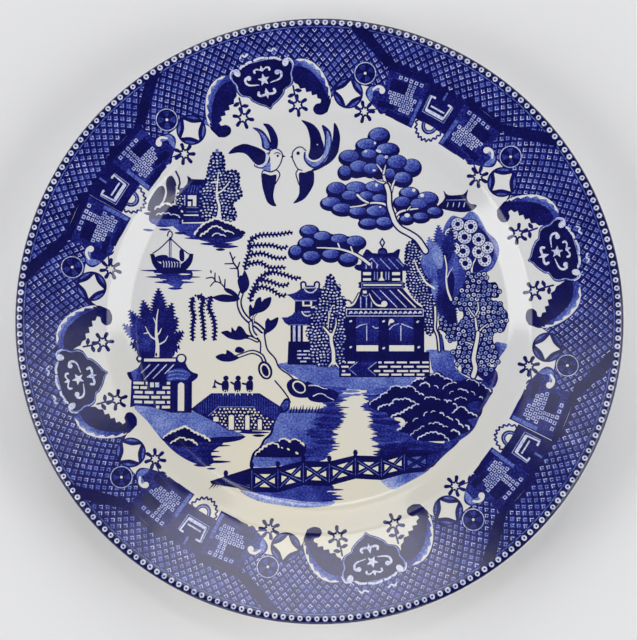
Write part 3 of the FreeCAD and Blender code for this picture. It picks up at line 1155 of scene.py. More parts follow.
def left_bird():
    """Its spread wing, two raised wings, tail, body and head."""
    art = blob([(-28.1, 81.0), (-26, 81.0), (-23.5, 79.8), (-21.3, 77), (-20.3, 74.5), (-21.0, 72.2),
                (-23, 72.8), (-24.2, 73.8), (-24.5, 76.5), (-25.7, 79.2)], DEEP)
    art += blob([(-26.2, 80.3), (-23.7, 78.8), (-21.9, 76.2), (-21.2, 73.6), (-23, 73.4), (-23.6, 76.5),
                 (-24.8, 79)], 0.4)
    art += blob([(-23.6, 82.7), (-21, 82.5), (-19, 80.5), (-17.6, 77.5), (-17.5, 74.8), (-18.2, 73),
                 (-20.4, 73), (-20.6, 76), (-21.3, 79), (-22.5, 81.2)], 0.92)
    art += blob([(-27.6, 66.2), (-26, 64.8), (-23.9, 64.6), (-21.9, 66), (-20.7, 68.4), (-21, 71.5),
                 (-24, 70)], DEEP)
    art += blob([(-27.2, 66.5), (-25.8, 65.3), (-24, 65.2), (-22.4, 66.5), (-21.4, 68.6), (-21.6, 71),
                 (-24, 70)], 0.1)
    art += blob([(-38.3, 70.6), (-36.5, 72.8), (-34.5, 73.9), (-31.5, 74.8), (-28, 74.1), (-25, 73),
                 (-23, 71.6), (-22.6, 69.5), (-23.2, 67.2), (-25.5, 66), (-27.5, 67), (-29.5, 69.3),
                 (-31.5, 70.9), (-34.5, 71.2)], 0.95)
    art += blob([(-22.2, 66.5), (-20.6, 67), (-20.4, 63.2), (-22.6, 63.6), (-24.3, 64.5), (-22.8, 65.3)],
                0.36)
    body = [(-21.3, 70.6), (-20.6, 72.3), (-18.7, 73.1), (-16.6, 72.2), (-15.6, 70.6), (-15.9, 68.2),
            (-16.8, 66), (-18.3, 64.1), (-20.4, 63.2), (-20.6, 66.5), (-20.8, 69)]
    art += blob(body, BARE)
    art += curve(body[:9], 0.5, 0.9)
    art += patch([(-15.9, 70.9), (-14.3, 69.7), (-15.8, 69.1)], 0.9)
    art += patch(oval(-17.6, 70.0, 0.55, steps=8), 0.92)
    art += curve([(-19, 70.9), (-17.8, 71.4), (-16.5, 70.8)], 0.4, 0.8)
    art += curve([(-24.3, 61), (-24.2, 62.8), (-23.3, 63.7), (-20.5, 63.1), (-18.1, 63.9), (-16.7, 62.3),
                  (-17.2, 60.5), (-18.6, 58)], 0.5, 0.88)
    art += blob([(-24.4, 61), (-23.6, 62.6), (-20.7, 61.7), (-18.3, 62), (-18.2, 60), (-19, 56), (-19.4, 53),
                 (-18.9, 50.4), (-18.1, 48.7), (-20, 48.8), (-22, 50.5), (-23.3, 54), (-24.1, 57.5)], 0.96)
    return art


def right_bird():
    """Its two raised wings, folded wing, head, neck and tail."""
    art = blob([(6.2, 83.5), (7.8, 81.5), (8.7, 78), (8.3, 73.5), (7.4, 70.5), (5, 67.5), (1.5, 65.2),
                (-2, 63.6), (-3.2, 64.2), (0, 65.8), (3, 68.5), (4.6, 73), (5.5, 77), (5.9, 80.5)], 0.96)
    art += blob([(1.0, 82.5), (3.2, 81.6), (4.9, 79.4), (5.2, 75), (3.9, 70.3), (0.9, 66.3), (-2, 64.6),
                 (-4.8, 65.9), (-6.6, 68.6), (-6.3, 71.8), (-4.6, 70.5), (-0.5, 69), (1.8, 73), (2.2, 78)],
                DEEP)
    art += blob([(3.2, 80.3), (4.5, 78), (4.6, 74.5), (3.2, 70.2), (0.5, 66.9), (-2, 65.4), (-4.4, 66.6),
                 (-5.9, 68.8), (-5.6, 70.9), (-4.4, 68.2), (-2.5, 67), (0.6, 68.8), (2.4, 72.5),
                 (2.9, 76.5)], 0.36)
    art += blob([(-5.7, 72.4), (-5.4, 69.3), (-3, 67.4), (-0.2, 68), (1.6, 70.5), (0, 72), (-3.8, 73.5)],
                0.06)
    art += blob([(-7.6, 84.4), (-4.5, 83.7), (-2, 82.4), (0, 80), (1, 77), (1.9, 74), (1.5, 70.6),
                 (-0.5, 68.7), (-3, 68.2), (-4.7, 69.8), (-4.1, 72.5), (-3.9, 76), (-4.5, 79.5),
                 (-5.6, 82.2)], 0.93)
    art += patch(oval(-0.9, 74.8, 0.4, steps=6), 0.3)
    head = [(-5.7, 72.2), (-7.5, 73.7), (-9.5, 73.4), (-11.2, 71.7), (-11.4, 69.5), (-10.8, 67.5),
            (-9.2, 64.6), (-7.4, 63.8)]
    art += curve(head, 0.5, 0.9)
    art += patch([(-11.2, 70.4), (-12.4, 69.5), (-11.1, 68.7)], 0.9)
    art += blob(oval(-9.0, 71.1, 0.75, 0.8, steps=6), 0.92, 2)
    art += curve([(-9, 64.2), (-9.9, 62.5), (-9.3, 60), (-8.5, 57.6)], 0.5, 0.85)
    art += blob([(-8.6, 62.6), (-6.2, 62.9), (-4, 63.7), (-2.5, 63.6), (-2.2, 60), (-2.8, 57), (-5.5, 52.6),
                 (-8, 50.7), (-11, 49.8), (-9.4, 52), (-8.5, 54.3), (-8.5, 58)],
                (0.97, 0.9, (-4, 63), (-8, 52)))
    return art


def draw_birds():
    """Two birds that fly towards each other."""
    return left_bird() + right_bird()


def island_water(rng):
    """The shore below the island and its streaks."""
    art = blob([(-62, 41.8), (-50, 41.4), (-33, 37), (-35, 34), (-44, 33), (-52, 34.8), (-58, 37.2)],
               (0.6, 0.78, (-60, 40), (-40, 35)))
    art += water([(-61, -55, 37.2), (-57, -36, 35), (-50.3, -36, 32.6), (-45, -34, 31.5),
                  (-43.6, -39.5, 30.2), (-47, -37, 33.8), (-52, -31, 36.2)], 0.8, rng, 1.1)
    art += blob([(-71, 44.5), (-66, 44), (-58, 43), (-57, 41), (-63, 40), (-70.5, 41)], 0.6)
    art += water([(-73.5, -67, 44.8), (-74, -69.5, 38.2), (-69, -62, 40.2), (-67.5, -62.6, 38.7)],
                 0.7, rng, 1.1)
    return art


def island_house():
    """A house with its tiled roof, window and steps."""
    art = patch([(-55.6, 61.1), (-54.4, 60.5), (-53.8, 59.9), (-47, 59.9), (-47, 53), (-58.8, 53),
                 (-59, 55.8), (-57.2, 56.3), (-55.7, 57.8), (-55.3, 59.4)], 0.8)
    art += patch([(-55.3, 60.8), (-53.8, 59.9), (-47, 59.9), (-47, 57.8), (-55.2, 57.9)], 0.97)
    for k in range(7):
        art += stroke([(-54.6 + 1.1 * k, 57.4), (-55.4 + 1.15 * k, 54)], 0.25, 0.55, ends=False)
    art += box(-59.2, 41, -49, 53.4, 0.85)
    art += box(-57, 49, -56.5, 53.2, 0.15) + box(-55.4, 48.6, -51.8, 53.2, 0.03)
    art += patch([(-55.4, 51.6), (-53.3, 51.6), (-53.3, 48.6), (-54, 48.6), (-54, 50.6), (-55.4, 50.6)], 0.93)
    art += stroke([(-50.3, 48.6), (-50.3, 53.4)], 0.35, 0.2, ends=False)
    art += stroke([(-55.8, 48), (-50, 48)], 0.3, 0.4) + stroke([(-55.8, 46.2), (-50, 46.2)], 0.3, 0.4)
    art += stroke([(-49, 44.8), (-57.6, 44.8), (-57.6, 41.5), (-48, 41.6)], 0.62, 0.04)
    return art


def island_rocks(rng):
    """Rocks on the left with their white ridges."""
    art = blob([(-71.8, 46), (-71.5, 49), (-70, 52), (-67.6, 55.5), (-65.6, 56.3), (-64.7, 54.5),
                (-65.4, 51.3), (-66.9, 48.4), (-69, 46.2)], 0.97)
    art += blob([(-64.3, 57.5), (-63.6, 59.7), (-62, 60.6), (-60.8, 59.4), (-60, 57), (-60.2, 54),
                 (-60.8, 49.5), (-64.2, 49), (-65.6, 50), (-64.3, 54)], 0.97)
    art += curve([(-64.5, 56.3), (-64.3, 53.4), (-65.3, 50.6), (-67.2, 48)], 0.6, 0.06)
    art += curve([(-60.1, 56.6), (-60.2, 53.6), (-60.9, 50)], 0.5, 0.08)
    art += stroke([(-60.1, 62.4), (-58.9, 60), (-58.6, 58), (-59.3, 55.6)], 0.75, 0.9)
    art += blob([(-69.6, 46.4), (-66.5, 48), (-64.3, 49.4), (-60.5, 49.2), (-58, 46.4), (-57.6, 42.8),
                 (-69.5, 42.8), (-71, 45)], 0.95)
    art += box(-69.5, 41, -59, 43, 0.62)
    art += ridge([(-69, 46.8), (-66.6, 48.1), (-64.5, 49.6), (-62.5, 48.6), (-60.5, 49.4), (-59, 48),
                  (-57.8, 46.4)], rng, 0.85)
    art += ridge([(-68.5, 44.5), (-66, 45.1), (-64, 45.3), (-62, 44.7), (-60.5, 45), (-58.8, 43.8)],
                 rng, 0.5, 0.12)
    return art


def island_tree(rng):
    """Round-leaved trees, and the mound under the larger one."""
    art = beaded_tree([(-59.4, 53.6), (-57.6, 53.2), (-57.4, 49), (-57.6, 47), (-59.4, 48.6), (-60, 51)],
                      rng, 1.3)
    art += beaded_tree([(-43, 71), (-41, 70.2), (-40.2, 67), (-40, 63.2), (-36, 63.6), (-34, 61.6),
                        (-34.2, 58), (-32.8, 53.6), (-34.6, 51.6), (-37, 49.5), (-35.6, 46.6),
                        (-35.4, 43.8), (-37, 42.6), (-42, 42.6), (-48.4, 42.6), (-50.2, 45), (-50, 50),
                        (-50.4, 54.6), (-48.6, 58), (-47.2, 61), (-46.6, 64.4), (-45.4, 68), (-44.8, 70)],
                       rng)
    art += patch(oval(-43, 71.6, 0.75, steps=8), 0.35)
    art += curve([(-42.6, 43.4), (-42.1, 48), (-43, 51.6), (-43.3, 54), (-43, 58), (-42.6, 63)],
                 1.35, 0.03, 0.35)
    art += curve([(-43.2, 53.9), (-41, 55.2), (-39, 57.5), (-37.8, 59.2)], 0.8, 0.03, 0.3)
    art += curve([(-42, 47), (-41.4, 43.4)], 0.5, 0.03) + curve([(-43.4, 59), (-45.5, 58.6)], 0.7, 0.03)
    art += blob([(-52.6, 36.6), (-50.5, 39), (-48, 41.3), (-46, 42), (-43.5, 43.3), (-41.5, 42.6),
                 (-39, 41.3), (-37, 41), (-35, 39.5), (-32.5, 38.4), (-31, 37.3), (-33, 36), (-37, 35),
                 (-46, 35), (-51, 35.4)], 0.95)
    art += ridge([(-52.4, 36.8), (-50.5, 39.2), (-48, 41.4), (-46, 42.1), (-43.5, 43.3), (-41.5, 42.6),
                  (-39, 41.4), (-37, 41.1), (-35, 39.6), (-33, 38.5)], rng, 0.75)
    art += ridge([(-50, 36), (-47.5, 37.5), (-44.8, 39.9), (-42, 39.5), (-40, 38), (-38, 37.9),
                  (-36, 36.8)], rng, 0.6)
    art += ridge([(-45, 36), (-43.8, 36.9), (-42.8, 37.1), (-41, 36.1), (-39.4, 35.8)], rng, 0.5, 0.12)
    return art


def draw_island(rng):
    """The far island."""
    return island_water(rng) + island_house() + island_rocks(rng) + island_tree(rng)


def draw_boat(rng):
    """The house boat with its mast and stays."""
    art = water([(-75.4, -49, 21.3), (-73, -49.5, 18.6), (-69.4, -52.4, 16.4), (-63.5, -57.4, 13.8)],
                0.78, rng, 0.9)
    art += blob([(-69, 21.6), (-55, 21.6), (-53.5, 18.4), (-57, 16), (-59, 14), (-63, 15.4), (-67, 18)],
                (0.86, 0.6, (-62, 21.5), (-62, 15)))
    for left, right, y in ((-71, -66, 20), (-59, -54, 19.8), (-69, -64, 17.5), (-58, -54, 17.2)):
        art += water([(left, right, y)], BARE, rng, 0.5)
    art += curve([(-63.9, 36), (-63.5, 37.5), (-62.7, 38.1), (-61.8, 36.8), (-62.5, 34.7)], 0.55, 0.88)
    art += stroke([(-62.7, 35), (-62.7, 25.6)], 1.05, 0.9) + stroke([(-62.7, 34), (-62.7, 26)], 0.3, 0.1)
    art += curve([(-63, 34.7), (-66.8, 30.9), (-70, 28.6)], 0.5, 0.88)
    art += curve([(-62.3, 34.7), (-58.4, 31), (-55, 28.4)], 0.5, 0.88)
    art += patch(smooth([(-71.2, 28.4), (-70, 24), (-67.6, 21), (-65, 20.1), (-59, 20.1), (-55.6, 22),
                         (-53.5, 25), (-52.9, 28.4)]) + [(-54.6, 28.6)]
                 + smooth([(-55, 27), (-57, 25), (-60, 23.2), (-64.5, 23.4), (-68, 25.2), (-69.4, 28.3)]),
                 0.95)
    art += blob([(-69, 26.8), (-67.3, 27.8), (-64.4, 27.9), (-63.3, 26.6), (-64.5, 25), (-68, 25.3)], 0.92)
    art += blob([(-63.4, 26.8), (-61, 26.6), (-58.4, 25), (-58.6, 23.6), (-61.5, 23), (-65.6, 23.6),
                 (-66.4, 25)], 0.88)
    art += blob([(-58.8, 29.6), (-57.6, 30.6), (-56.8, 28.6), (-56.9, 25.4), (-58.6, 25.8)], 0.93)
    for k in range(7):
        x = -65.6 + 1.15 * k
        art += curve([(x, 25.4 - 0.1 * k), (x + 0.3, 24.2), (x + 0.2, 22.8)], 0.3, 0.12)
    return art


def gate_tree():
    """Serrated plumes that fan out from one pale stem."""
    art = blob([(-76, -14.6), (-75, -6), (-71, 0), (-67.6, 3), (-63.6, -1), (-61, -7), (-61, -14.6),
                (-68, -16)], 0.84)
    for tip, width, ink in (((-82, -1.6), 5.2, 0.66), ((-79, -9.4), 5, 0.74), ((-79.6, 4.4), 5.6, 0.72),
                            ((-57, -4.4), 5.4, 0.86), ((-58.6, -10.8), 5, 0.84), ((-59.6, 1.6), 5.4, 0.85),
                            ((-74, 8.8), 6.2, 0.8), ((-61.8, 7.6), 6, 0.86), ((-67.6, 13.8), 7.4, 0.82)):
        root = (-68 + 0.2 * (tip[0] + 68), -12 + 0.2 * (tip[1] + 12))
        art += plume(root, tip, width, ink, -0.1 if tip[0] > -68 else 0.1)
    art += curve([(-68, -15), (-67.8, -10.5), (-68.4, -5), (-68.2, 1), (-67.6, 5)], 1.9, 0.02, 0.3)
    for points, width in (([(-68.6, -7.6), (-70.4, -6.6), (-71.8, -4.4), (-73, -2.2)], 0.75),
                          ([(-71.8, -4.8), (-73.6, -5.2)], 0.7),
                          ([(-67.2, -9.8), (-64.8, -8.4), (-63.5, -6.2)], 0.7),
                          ([(-68, -5.8), (-67, -4.8), (-66.2, -3)], 0.8),
                          ([(-68.4, -1), (-69.6, 1.4)], 0.6)):
        art += curve(points, width, 0.04, 0.3)
    art += patch(oval(-68.3, -14, 0.4, 0.8, steps=8), 0.9)
    return art


def gate_roof():
    """Curved eaves, a white ridge with scroll ends and light ribs."""
    right_eave = smooth([(-55.8, -18), (-54.8, -19.9), (-53, -21.4), (-50.9, -22.2), (-51.2, -23.8),
                         (-53.2, -25.4)])
    left_eave = smooth([(-78.2, -25.4), (-79.4, -24), (-80.2, -21.8), (-78.4, -21.2), (-76, -19.6),
                        (-75, -18)])
    art = patch([(-74.8, -17.2), (-56, -17.2)] + right_eave + left_eave, 0.9)
    art += patch([(-78.6, -21.2), (-75, -19.2), (-74, -25), (-77.6, -25)],
                 (0.45, 0.75, (-78, -22), (-73, -22)))
    art += blob([(-62, -20.6), (-58, -19.8), (-54.6, -21.4), (-54, -23), (-57, -25), (-63.4, -25),
                 (-63.6, -22)], 0.6)
    for y in (-20.9, -22.4, -24.0):
        art += curve([(-63, y - 0.4), (-59.6, y + 0.2), (-55.6, y - 0.3)], 0.7, 0.42, 0.3)
    for x0, y0, x1, y1 in ((-67.3, -18.2, -73.4, -24.6), (-64, -18.3, -69.6, -24), (-61, -18.3, -64.6, -22),
                           (-71, -18.3, -74.6, -21.8)):
        art += stroke([(x0, y0), (x1, y1)], 0.5, 0.16, 0.35)
    art += box(-76, -17.4, -56.4, -15.1, 0.9) + box(-73.4, -16.9, -60.2, -15.7, BARE)
    for x, r in ((-57.8, 2.3), (-75.2, 1.5)):
        art += patch(oval(x, -15.8, r, r * 0.95, steps=18), 0.88)
        art += patch(oval(x, -15.7, r - 0.75, r - 0.8, steps=14), BARE)
    return art


def gate_wall():
    """The brick wall with its window, then the gate."""
    art = patch([(-78.4, -25.4), (-61.8, -25.4), (-61.8, -38.4), (-66, -37.2), (-70, -36), (-76, -35.6),
                 (-78.6, -36.4)], 0.84)
    art += bricks([
        (-26.0, (-77.6, -73.4), (-72.6, -71.9), (-63.8, -62.4)),
        (-27.9, (-77.6, -75.4), (-74.8, -72.1), (-65.6, -62.4)),
        (-29.9, (-77.0, -73.8), (-72.9, -69.4), (-68.1, -64.6), (-63.7, -62.4)),
        (-31.9, (-77.5, -71.2), (-70.2, -66.6), (-65.8, -62.4)),
        (-34.0, (-77.0, -74.0), (-73.1, -69.4), (-68.4, -64.6), (-63.7, -62.4)),
        (-36.0, (-68.2, -66.9), (-65.8, -62.4)),
    ], 1.15)
    art += box(-71.4, -28.2, -66.4, -25.4, 0.95) + box(-70.8, -27.7, -69.2, -25.7, BARE)
    art += box(-68.7, -27.7, -67.0, -25.7, 0.12)
    art += box(-62.2, -38.4, -53.3, -24.8, 0.86) + box(-60.6, -38, -60.2, -25.5, 0.97)
    art += box(-54.9, -38, -53.3, -25, 0.95)
    art += patch([(-59.2, -37.6), (-56.5, -37.6), (-56.5, -26.8)] + arc(-57.85, -27.0, 1.35, 10, 170, 8),
                 BARE)
    return art


def draw_gate_house():
    """The walled gate on the left, with its roof and the tree behind."""
    return gate_tree() + gate_roof() + gate_wall()


def draw_left_land(rng):
    """The near shore on the left, with two low rocks."""
    art = blob([(-77, -36.4), (-72, -35.4), (-66, -37), (-58, -38.2), (-52, -37.8), (-47, -39.4),
                (-42, -42.4), (-36, -45.7), (-31.2, -48.2), (-36, -50), (-46, -50.6), (-56, -51),
                (-64, -50.8), (-68, -46.6), (-72, -41.6)], (0.36, 0.5, (-70, -38), (-40, -47)))
    art += blob([(-66, -48.6), (-62, -50), (-50, -50.4), (-40, -50.6), (-45, -55), (-44, -59.2), (-49, -60.2),
                 (-55, -58.2), (-61, -54.2)], (0.7, 0.8, (-62, -51), (-46, -58)))
    art += blob([(-47, -49), (-36, -48.2), (-30.8, -48.2), (-34, -50), (-41, -51), (-47, -51)], 0.9)
    art += water([(-46, -36.8, -50.4), (-56, -36.8, -52.1), (-52, -41.6, -54.5), (-50, -40.8, -56.7),
                  (-50, -36.8, -58.8), (-52.4, -45, -60.3), (-47, -43.2, -61.7)], 0.86, rng, 1.0)
    art += blob([(-65.6, -49.4), (-62.5, -46.8), (-60, -45.8), (-57, -44.3), (-54, -44.8), (-52, -46.6),
                 (-49, -47.8), (-45.4, -50), (-50, -50.8), (-58, -50.4), (-63, -50.6)], 0.96)
    art += blob([(-62.4, -51.4), (-58, -48.7), (-56, -49.8), (-54, -49.4), (-50.6, -52), (-56, -52.6)], 0.97)
    art += ridge([(-65, -49), (-62.5, -47), (-60, -46), (-57, -44.5), (-54.5, -45), (-52, -46.8), (-49, -48),
                  (-45.8, -50)], rng, 0.8)
    art += ridge([(-62, -51.2), (-60, -50), (-58, -48.7), (-56, -49.8), (-54, -49.5), (-51, -51.8)], rng, 0.7)
    return art


def draw_bridge(rng):
    """The bridge of small stones with four openings, and its railing."""
    art = patch([(-54, -37), (-45.2, -30.2), (-25, -30.2), (-15, -36.6), (-18.6, -42), (-20, -45.8),
                 (-38, -45.8), (-43.4, -42.4), (-49, -39.6)], (0.86, 0.8, (-50, -33), (-20, -40)))
    for k in range(33):
        x = -50.4 + 1.02 * k
        top = float(np.interp(x, [-54, -45.2, -25, -15], [-37, -30.2, -30.2, -36.6])) - 0.7
        low = float(np.interp(x, [-50, -42.2, -27.2, -17], [-39.4, -36.2, -36.2, -42]))
        art += stroke([(x, top), (x, low)], 0.3, 0.66, ends=False)
    art += water([(-34, -20.6, -46.6), (-28, -22.6, -47.9), (-33, -28, -45.9)], 0.88, rng, 1.3)
    art += stroke([(-46.4, -39.6), (-42.2, -35.9), (-27.2, -35.9)], 0.3, 0.35)
    stones = [(-46, -39.8), (-42, -36.3), (-28, -36.3), (-19, -41.8), (-20.4, -45), (-38, -45)]
    art += patch(stones, 0.93)
    openings = ((-43.2, -39.9, -42.0, 2.2), (-36.8, -39.2, -45.4, 2.2), (-30.1, -39.2, -45.4, 1.8),
                (-24.9, -41.0, -45.4, 1.7))
    spots, y, row = [], -44.6, 0
    while y < -36.4:
        x = -46 + 0.7 * (row % 2)
        while x < -19:
            spots.append((x + rng.uniform(-0.2, 0.2), y + rng.uniform(-0.2, 0.2)))
            x += 1.55
        y += 1.3
        row += 1
    for (x, y), keep in zip(spots, holds(stones, np.array(spots))):
        if keep:
            art += patch(oval(x, y, rng.uniform(0.4, 0.62), rng.uniform(0.36, 0.5), rng.uniform(-40, 40),
                              6), 0.05)
    for x, top, low, width in openings:
        art += box(x - width / 2 - 0.5, low - 0.3, x + width / 2 + 0.5, top + 0.5, 0.95)
        art += patch([(x - width / 2, low), (x + width / 2, low), (x + width / 2, top - 0.4), (x, top),
                      (x - width / 2, top - 0.4)], BARE)
    return art


def draw_travellers():
    """Three tiny plain figures on the bridge."""
    art = []
    for x, reach in ((-39.4, (-4.2, 1.2)), (-34.3, (-2.6, 0.4)), (-29.2, (-2.9, -0.8))):
        art += blob(oval(x + 0.3, -23.9, 1.15, 1.1, steps=8), 0.95, 2)
        art += blob([(x - 1.0, -25.2), (x + 1.1, -25.0), (x + 1.5, -27.4), (x + 0.9, -29.6), (x - 0.9, -29.4),
                     (x - 1.5, -27.4)], 0.95)
        art += curve([(x - 0.4, -26.2), (x + 0.5 * reach[0], -26.4),
                      (x + reach[0], -25.8 + 0.4 * reach[1])], 0.85, 0.92)
        art += stroke([(x - 0.3, -29), (x - 0.9, -30.9)], 0.4, BARE)
        art += stroke([(x + 0.4, -29), (x + 1.2, -30.9)], 0.4, BARE)
    art += stroke([(-43.6, -24.8), (-44.0, -27.2)], 0.6, 0.92)
    art += patch([(-44.9, -28.0), (-42.9, -28.0), (-43.9, -26.2)], 0.92)
    return art


def trunk(points, width, end=None, core=0.03):
    """A pale branch between two dark edges."""
    end = width if end is None else end
    line = smooth(points, False, 5)
    return stroke(line, width, 0.9, end) + stroke(line, width * 0.45, core, end * 0.3)


def willow_fronds():
    """Hanging fronds and bare twigs."""
    art = []
    for points in ([(-28.6, 34.4), (-25, 36.3), (-18, 36.6), (-11.4, 37.6)],
                   [(-30, 31.6), (-27, 32), (-20, 32), (-16, 30.8), (-13.3, 31.4)],
                   [(-29, 28), (-24, 28.6), (-19, 26.8), (-14, 26.6)],
                   [(-30, 24), (-25, 24.8), (-21, 22.6), (-14.3, 22.8)],
                   [(-23.4, 19.6), (-20, 20.8), (-14, 19.4), (-10, 18), (-8, 18.6)],
                   [(-26, 17.6), (-21, 16.8), (-16, 15), (-13, 15.6)],
                   [(-28.6, 11.4), (-25, 14.5), (-20, 13.2), (-16.5, 10.8), (-14, 11)],
                   [(-29, 8.6), (-28.6, 11.4), (-26.4, 16), (-23.4, 19.6), (-20, 20.4)],
                   [(-31.4, 22), (-30.3, 26.6), (-29.2, 30), (-29.4, 33.4), (-28, 35.4)]):
        art += frond(points)
    for points in ([(-53, 9.6), (-53.6, 6), (-52.6, 2), (-53.2, -3), (-53, -8)],
                   [(-50.8, 10.5), (-48.6, 9.6), (-49.5, 5.4), (-48.8, 0), (-48.3, -7.8)],
                   [(-45.4, 10), (-46.4, 6), (-44.4, 1), (-43.8, -4), (-44.2, -7.8)]):
        art += frond(points, 1.5, 0.75)
    art += patch(oval(-52, 10.8, 0.5, steps=8), 0.9)
    art += curve([(-48.6, 9.8), (-46.6, 9.6), (-44.6, 10)], 0.6, 0.9)
    twigs = [([(-34, 18.6), (-34.3, 22), (-36, 24.5), (-36.8, 27), (-37.6, 29)], 0.75),
             ([(-34.5, 22), (-33.5, 24.8)], 0.75), ([(-36, 24.3), (-39.7, 24.2)], 0.6),
             ([(-34.8, 22.3), (-37.5, 22.2)], 0.55), ([(-36.4, 26), (-35.5, 27.2)], 0.6),
             ([(-39.4, 13.6), (-41.5, 16), (-44, 16.6), (-45.7, 14.8)], 0.6),
             ([(-43.5, 16.8), (-44.8, 18.4), (-47.5, 18.1)], 0.6), ([(-43.9, 17), (-43.8, 20.3)], 0.6),
             ([(-41.4, 16.2), (-42.2, 19)], 0.6), ([(-39.8, 14.4), (-39.6, 17.6)], 0.65),
             ([(-45.6, 21.2), (-45.5, 20.4)], 0.7)]
    for points, width in twigs:
        art += curve(points, width, 0.92, width * 0.8)
    return art


def willow_trunk():
    """The trunk from its forked crown down to the roots."""
    art = trunk([(-32.6, 12.5), (-33.7, 8), (-32.4, 3.6), (-29.4, 0.2), (-26, -2), (-23.2, -4.6)], 2.2, 2.6)
    art += trunk([(-28.8, -0.6), (-28.4, -4), (-26.6, -6.6), (-23.6, -8)], 2.0, 2.6)
    art += trunk([(-26.4, 3.4), (-27.6, 1.8), (-27.6, -0.6)], 1.0)
    body = [(-26.8, -6.6), (-24.6, -9), (-24.6, -13.2), (-22.4, -17.4), (-20, -22), (-18, -25.8),
            (-15.3, -29.4), (-13, -32.6), (-12, -34.6), (-8, -34.4), (-3.4, -33.6), (-5, -30), (-9.6, -26),
            (-11, -24.4), (-12.8, -22.4), (-16.8, -19.4), (-18.6, -15.6), (-21.6, -12), (-22.6, -8),
            (-22.9, -5)]
    art += blob(body, 0.02)
    art += curve([(-26, -7), (-24.7, -9), (-24.7, -13.4)], 0.6, 0.9)
    art += curve([(-18.6, -25), (-15.5, -28.6), (-13.2, -31.8), (-12.2, -34)], 0.6, 0.9)
    art += curve([(-23.1, -4.4), (-22.7, -8), (-21.7, -12), (-18.6, -15.6), (-16.8, -19.5), (-12.8, -22.4),
                  (-10.6, -24.6)], 0.65, 0.9)
    art += trunk([(-35.5, -15.4), (-32, -14), (-28, -12.9), (-24.4, -14.4), (-23, -17)], 1.7, 2.0)
    art += trunk([(-35, -7.2), (-30, -6.6), (-26, -8.2)], 1.5, 1.8)
    art += blob([(-13.7, -26.6), (-12.6, -24.8), (-10.6, -24.1), (-7.6, -24.9), (-5, -26.4), (-3, -29),
                 (-3.4, -31.4), (-5.8, -32.1), (-9, -32), (-11.6, -31), (-13.2, -28.9)], 0.93)
    for x, y, rx, ry, turn, rim in ((-22.7, -20.6, 2.9, 4.0, 20.0, 0.9), (-8.5, -27.5, 3.5, 2.7, -38.0, 0.3)):
        art += blob(oval(x, y, rx, ry, turn, 8), 0.93, 3)
        art += blob(oval(x, y - 0.1, rx - rim, ry - rim, turn, 8), BARE, 3)
        art += blob(oval(x, y - 0.2, rx - rim - 0.65, ry - rim - 0.65, turn, 8), 0.97, 3)
    art += blob([(-5.6, -25.4), (-2, -26.6), (2, -27.6), (8, -30), (6, -33.4), (-1, -34), (-5, -32)], 0.93)
    for line in ([(-4.4, -27), (-2.6, -26.9), (-0.6, -27.2), (1.2, -28), (3.2, -28.4)],
                 [(-2.6, -31.4), (-0.4, -30.4), (1.6, -30.6), (3.4, -31.8), (6, -33)]):
        art += curve(line, 0.5, 0.1, 0.3)
    return art


def willow_leaves():
    """Large dark leaves."""
    art = blob([(-31.4, 21.4), (-29.9, 18.4), (-29.4, 15.6), (-30.4, 13), (-32.6, 11.6), (-33.6, 13.6),
                (-34.4, 17), (-33.4, 19.2), (-32.4, 19.4)], 0.95)
    art += blob([(-44.8, 10), (-41, 11.3), (-37, 10.9), (-33.4, 9.6), (-35.5, 8.3), (-41, 8.2)], 0.95)
    art += blob([(-40, 13.9), (-37.4, 13.6), (-34.6, 11.6), (-33.6, 9.4), (-36.8, 11), (-39.2, 12.4)], 0.93)
    art += blob([(-29.4, 1.8), (-29.6, 5.6), (-28.9, 7.2), (-27.8, 5.6), (-26.6, 9), (-24.6, 10.2),
                 (-24.2, 8.2), (-23, 9.4), (-20.2, 10.1), (-20.9, 6.6), (-23.4, 4.2), (-26.4, 3.2),
                 (-28.4, 2.2)], 0.94)
    art += blob([(-22.7, -3.6), (-22.7, -0.4), (-21.5, 1.4), (-20.4, 0.4), (-17.3, 1.7), (-17.9, -1.6),
                 (-20, -3.9), (-22.2, -5)], 0.94)
    art += blob([(-41.2, -4.6), (-38.6, -3.9), (-37, -4.6), (-36.8, -2.5), (-35.2, -4), (-34, -2),
                 (-32.2, -2.8), (-30.4, -5.4), (-28.6, -6.2), (-33, -7.9), (-37.5, -7.3), (-40, -5.8)],
                0.94)
    art += blob([(-43.5, -15), (-41, -13.6), (-39.2, -13.7), (-38.8, -12.1), (-37, -12.9), (-35.4, -14.2),
                 (-33.6, -15.4), (-37, -16.9), (-41, -16.7)], 0.94)
    art += blob([(-35.4, -12.6), (-34.6, -10.9), (-32.8, -10.9), (-31.3, -12.4), (-33.4, -13.4)], 0.94)
    return art


def draw_willow():
    """The willow in the middle."""
    return willow_fronds() + willow_trunk() + willow_leaves()


def cloud_tree(lobes):
    """Pine foliage as dark cushions, lighter on top, each (across, up, half width, half height)."""
    art = []
    for x, y, rx, ry in lobes:
        art += blob(oval(x, y - 0.35 * ry - 0.2, rx + 1.1, 1.2 * ry + 1.0, steps=10), 0.95, 3)
    for x, y, rx, ry in lobes:
        art += blob(oval(x, y - 0.2, rx + 0.6, ry + 0.6, steps=10), 0.94, 3)
        art += blob(oval(x, y, rx + 0.15, ry + 0.15, steps=10),
                    (0.4, 0.7, (x - 0.4 * rx, y + ry), (x + 0.4 * rx, y - ry)), 3)
    return art


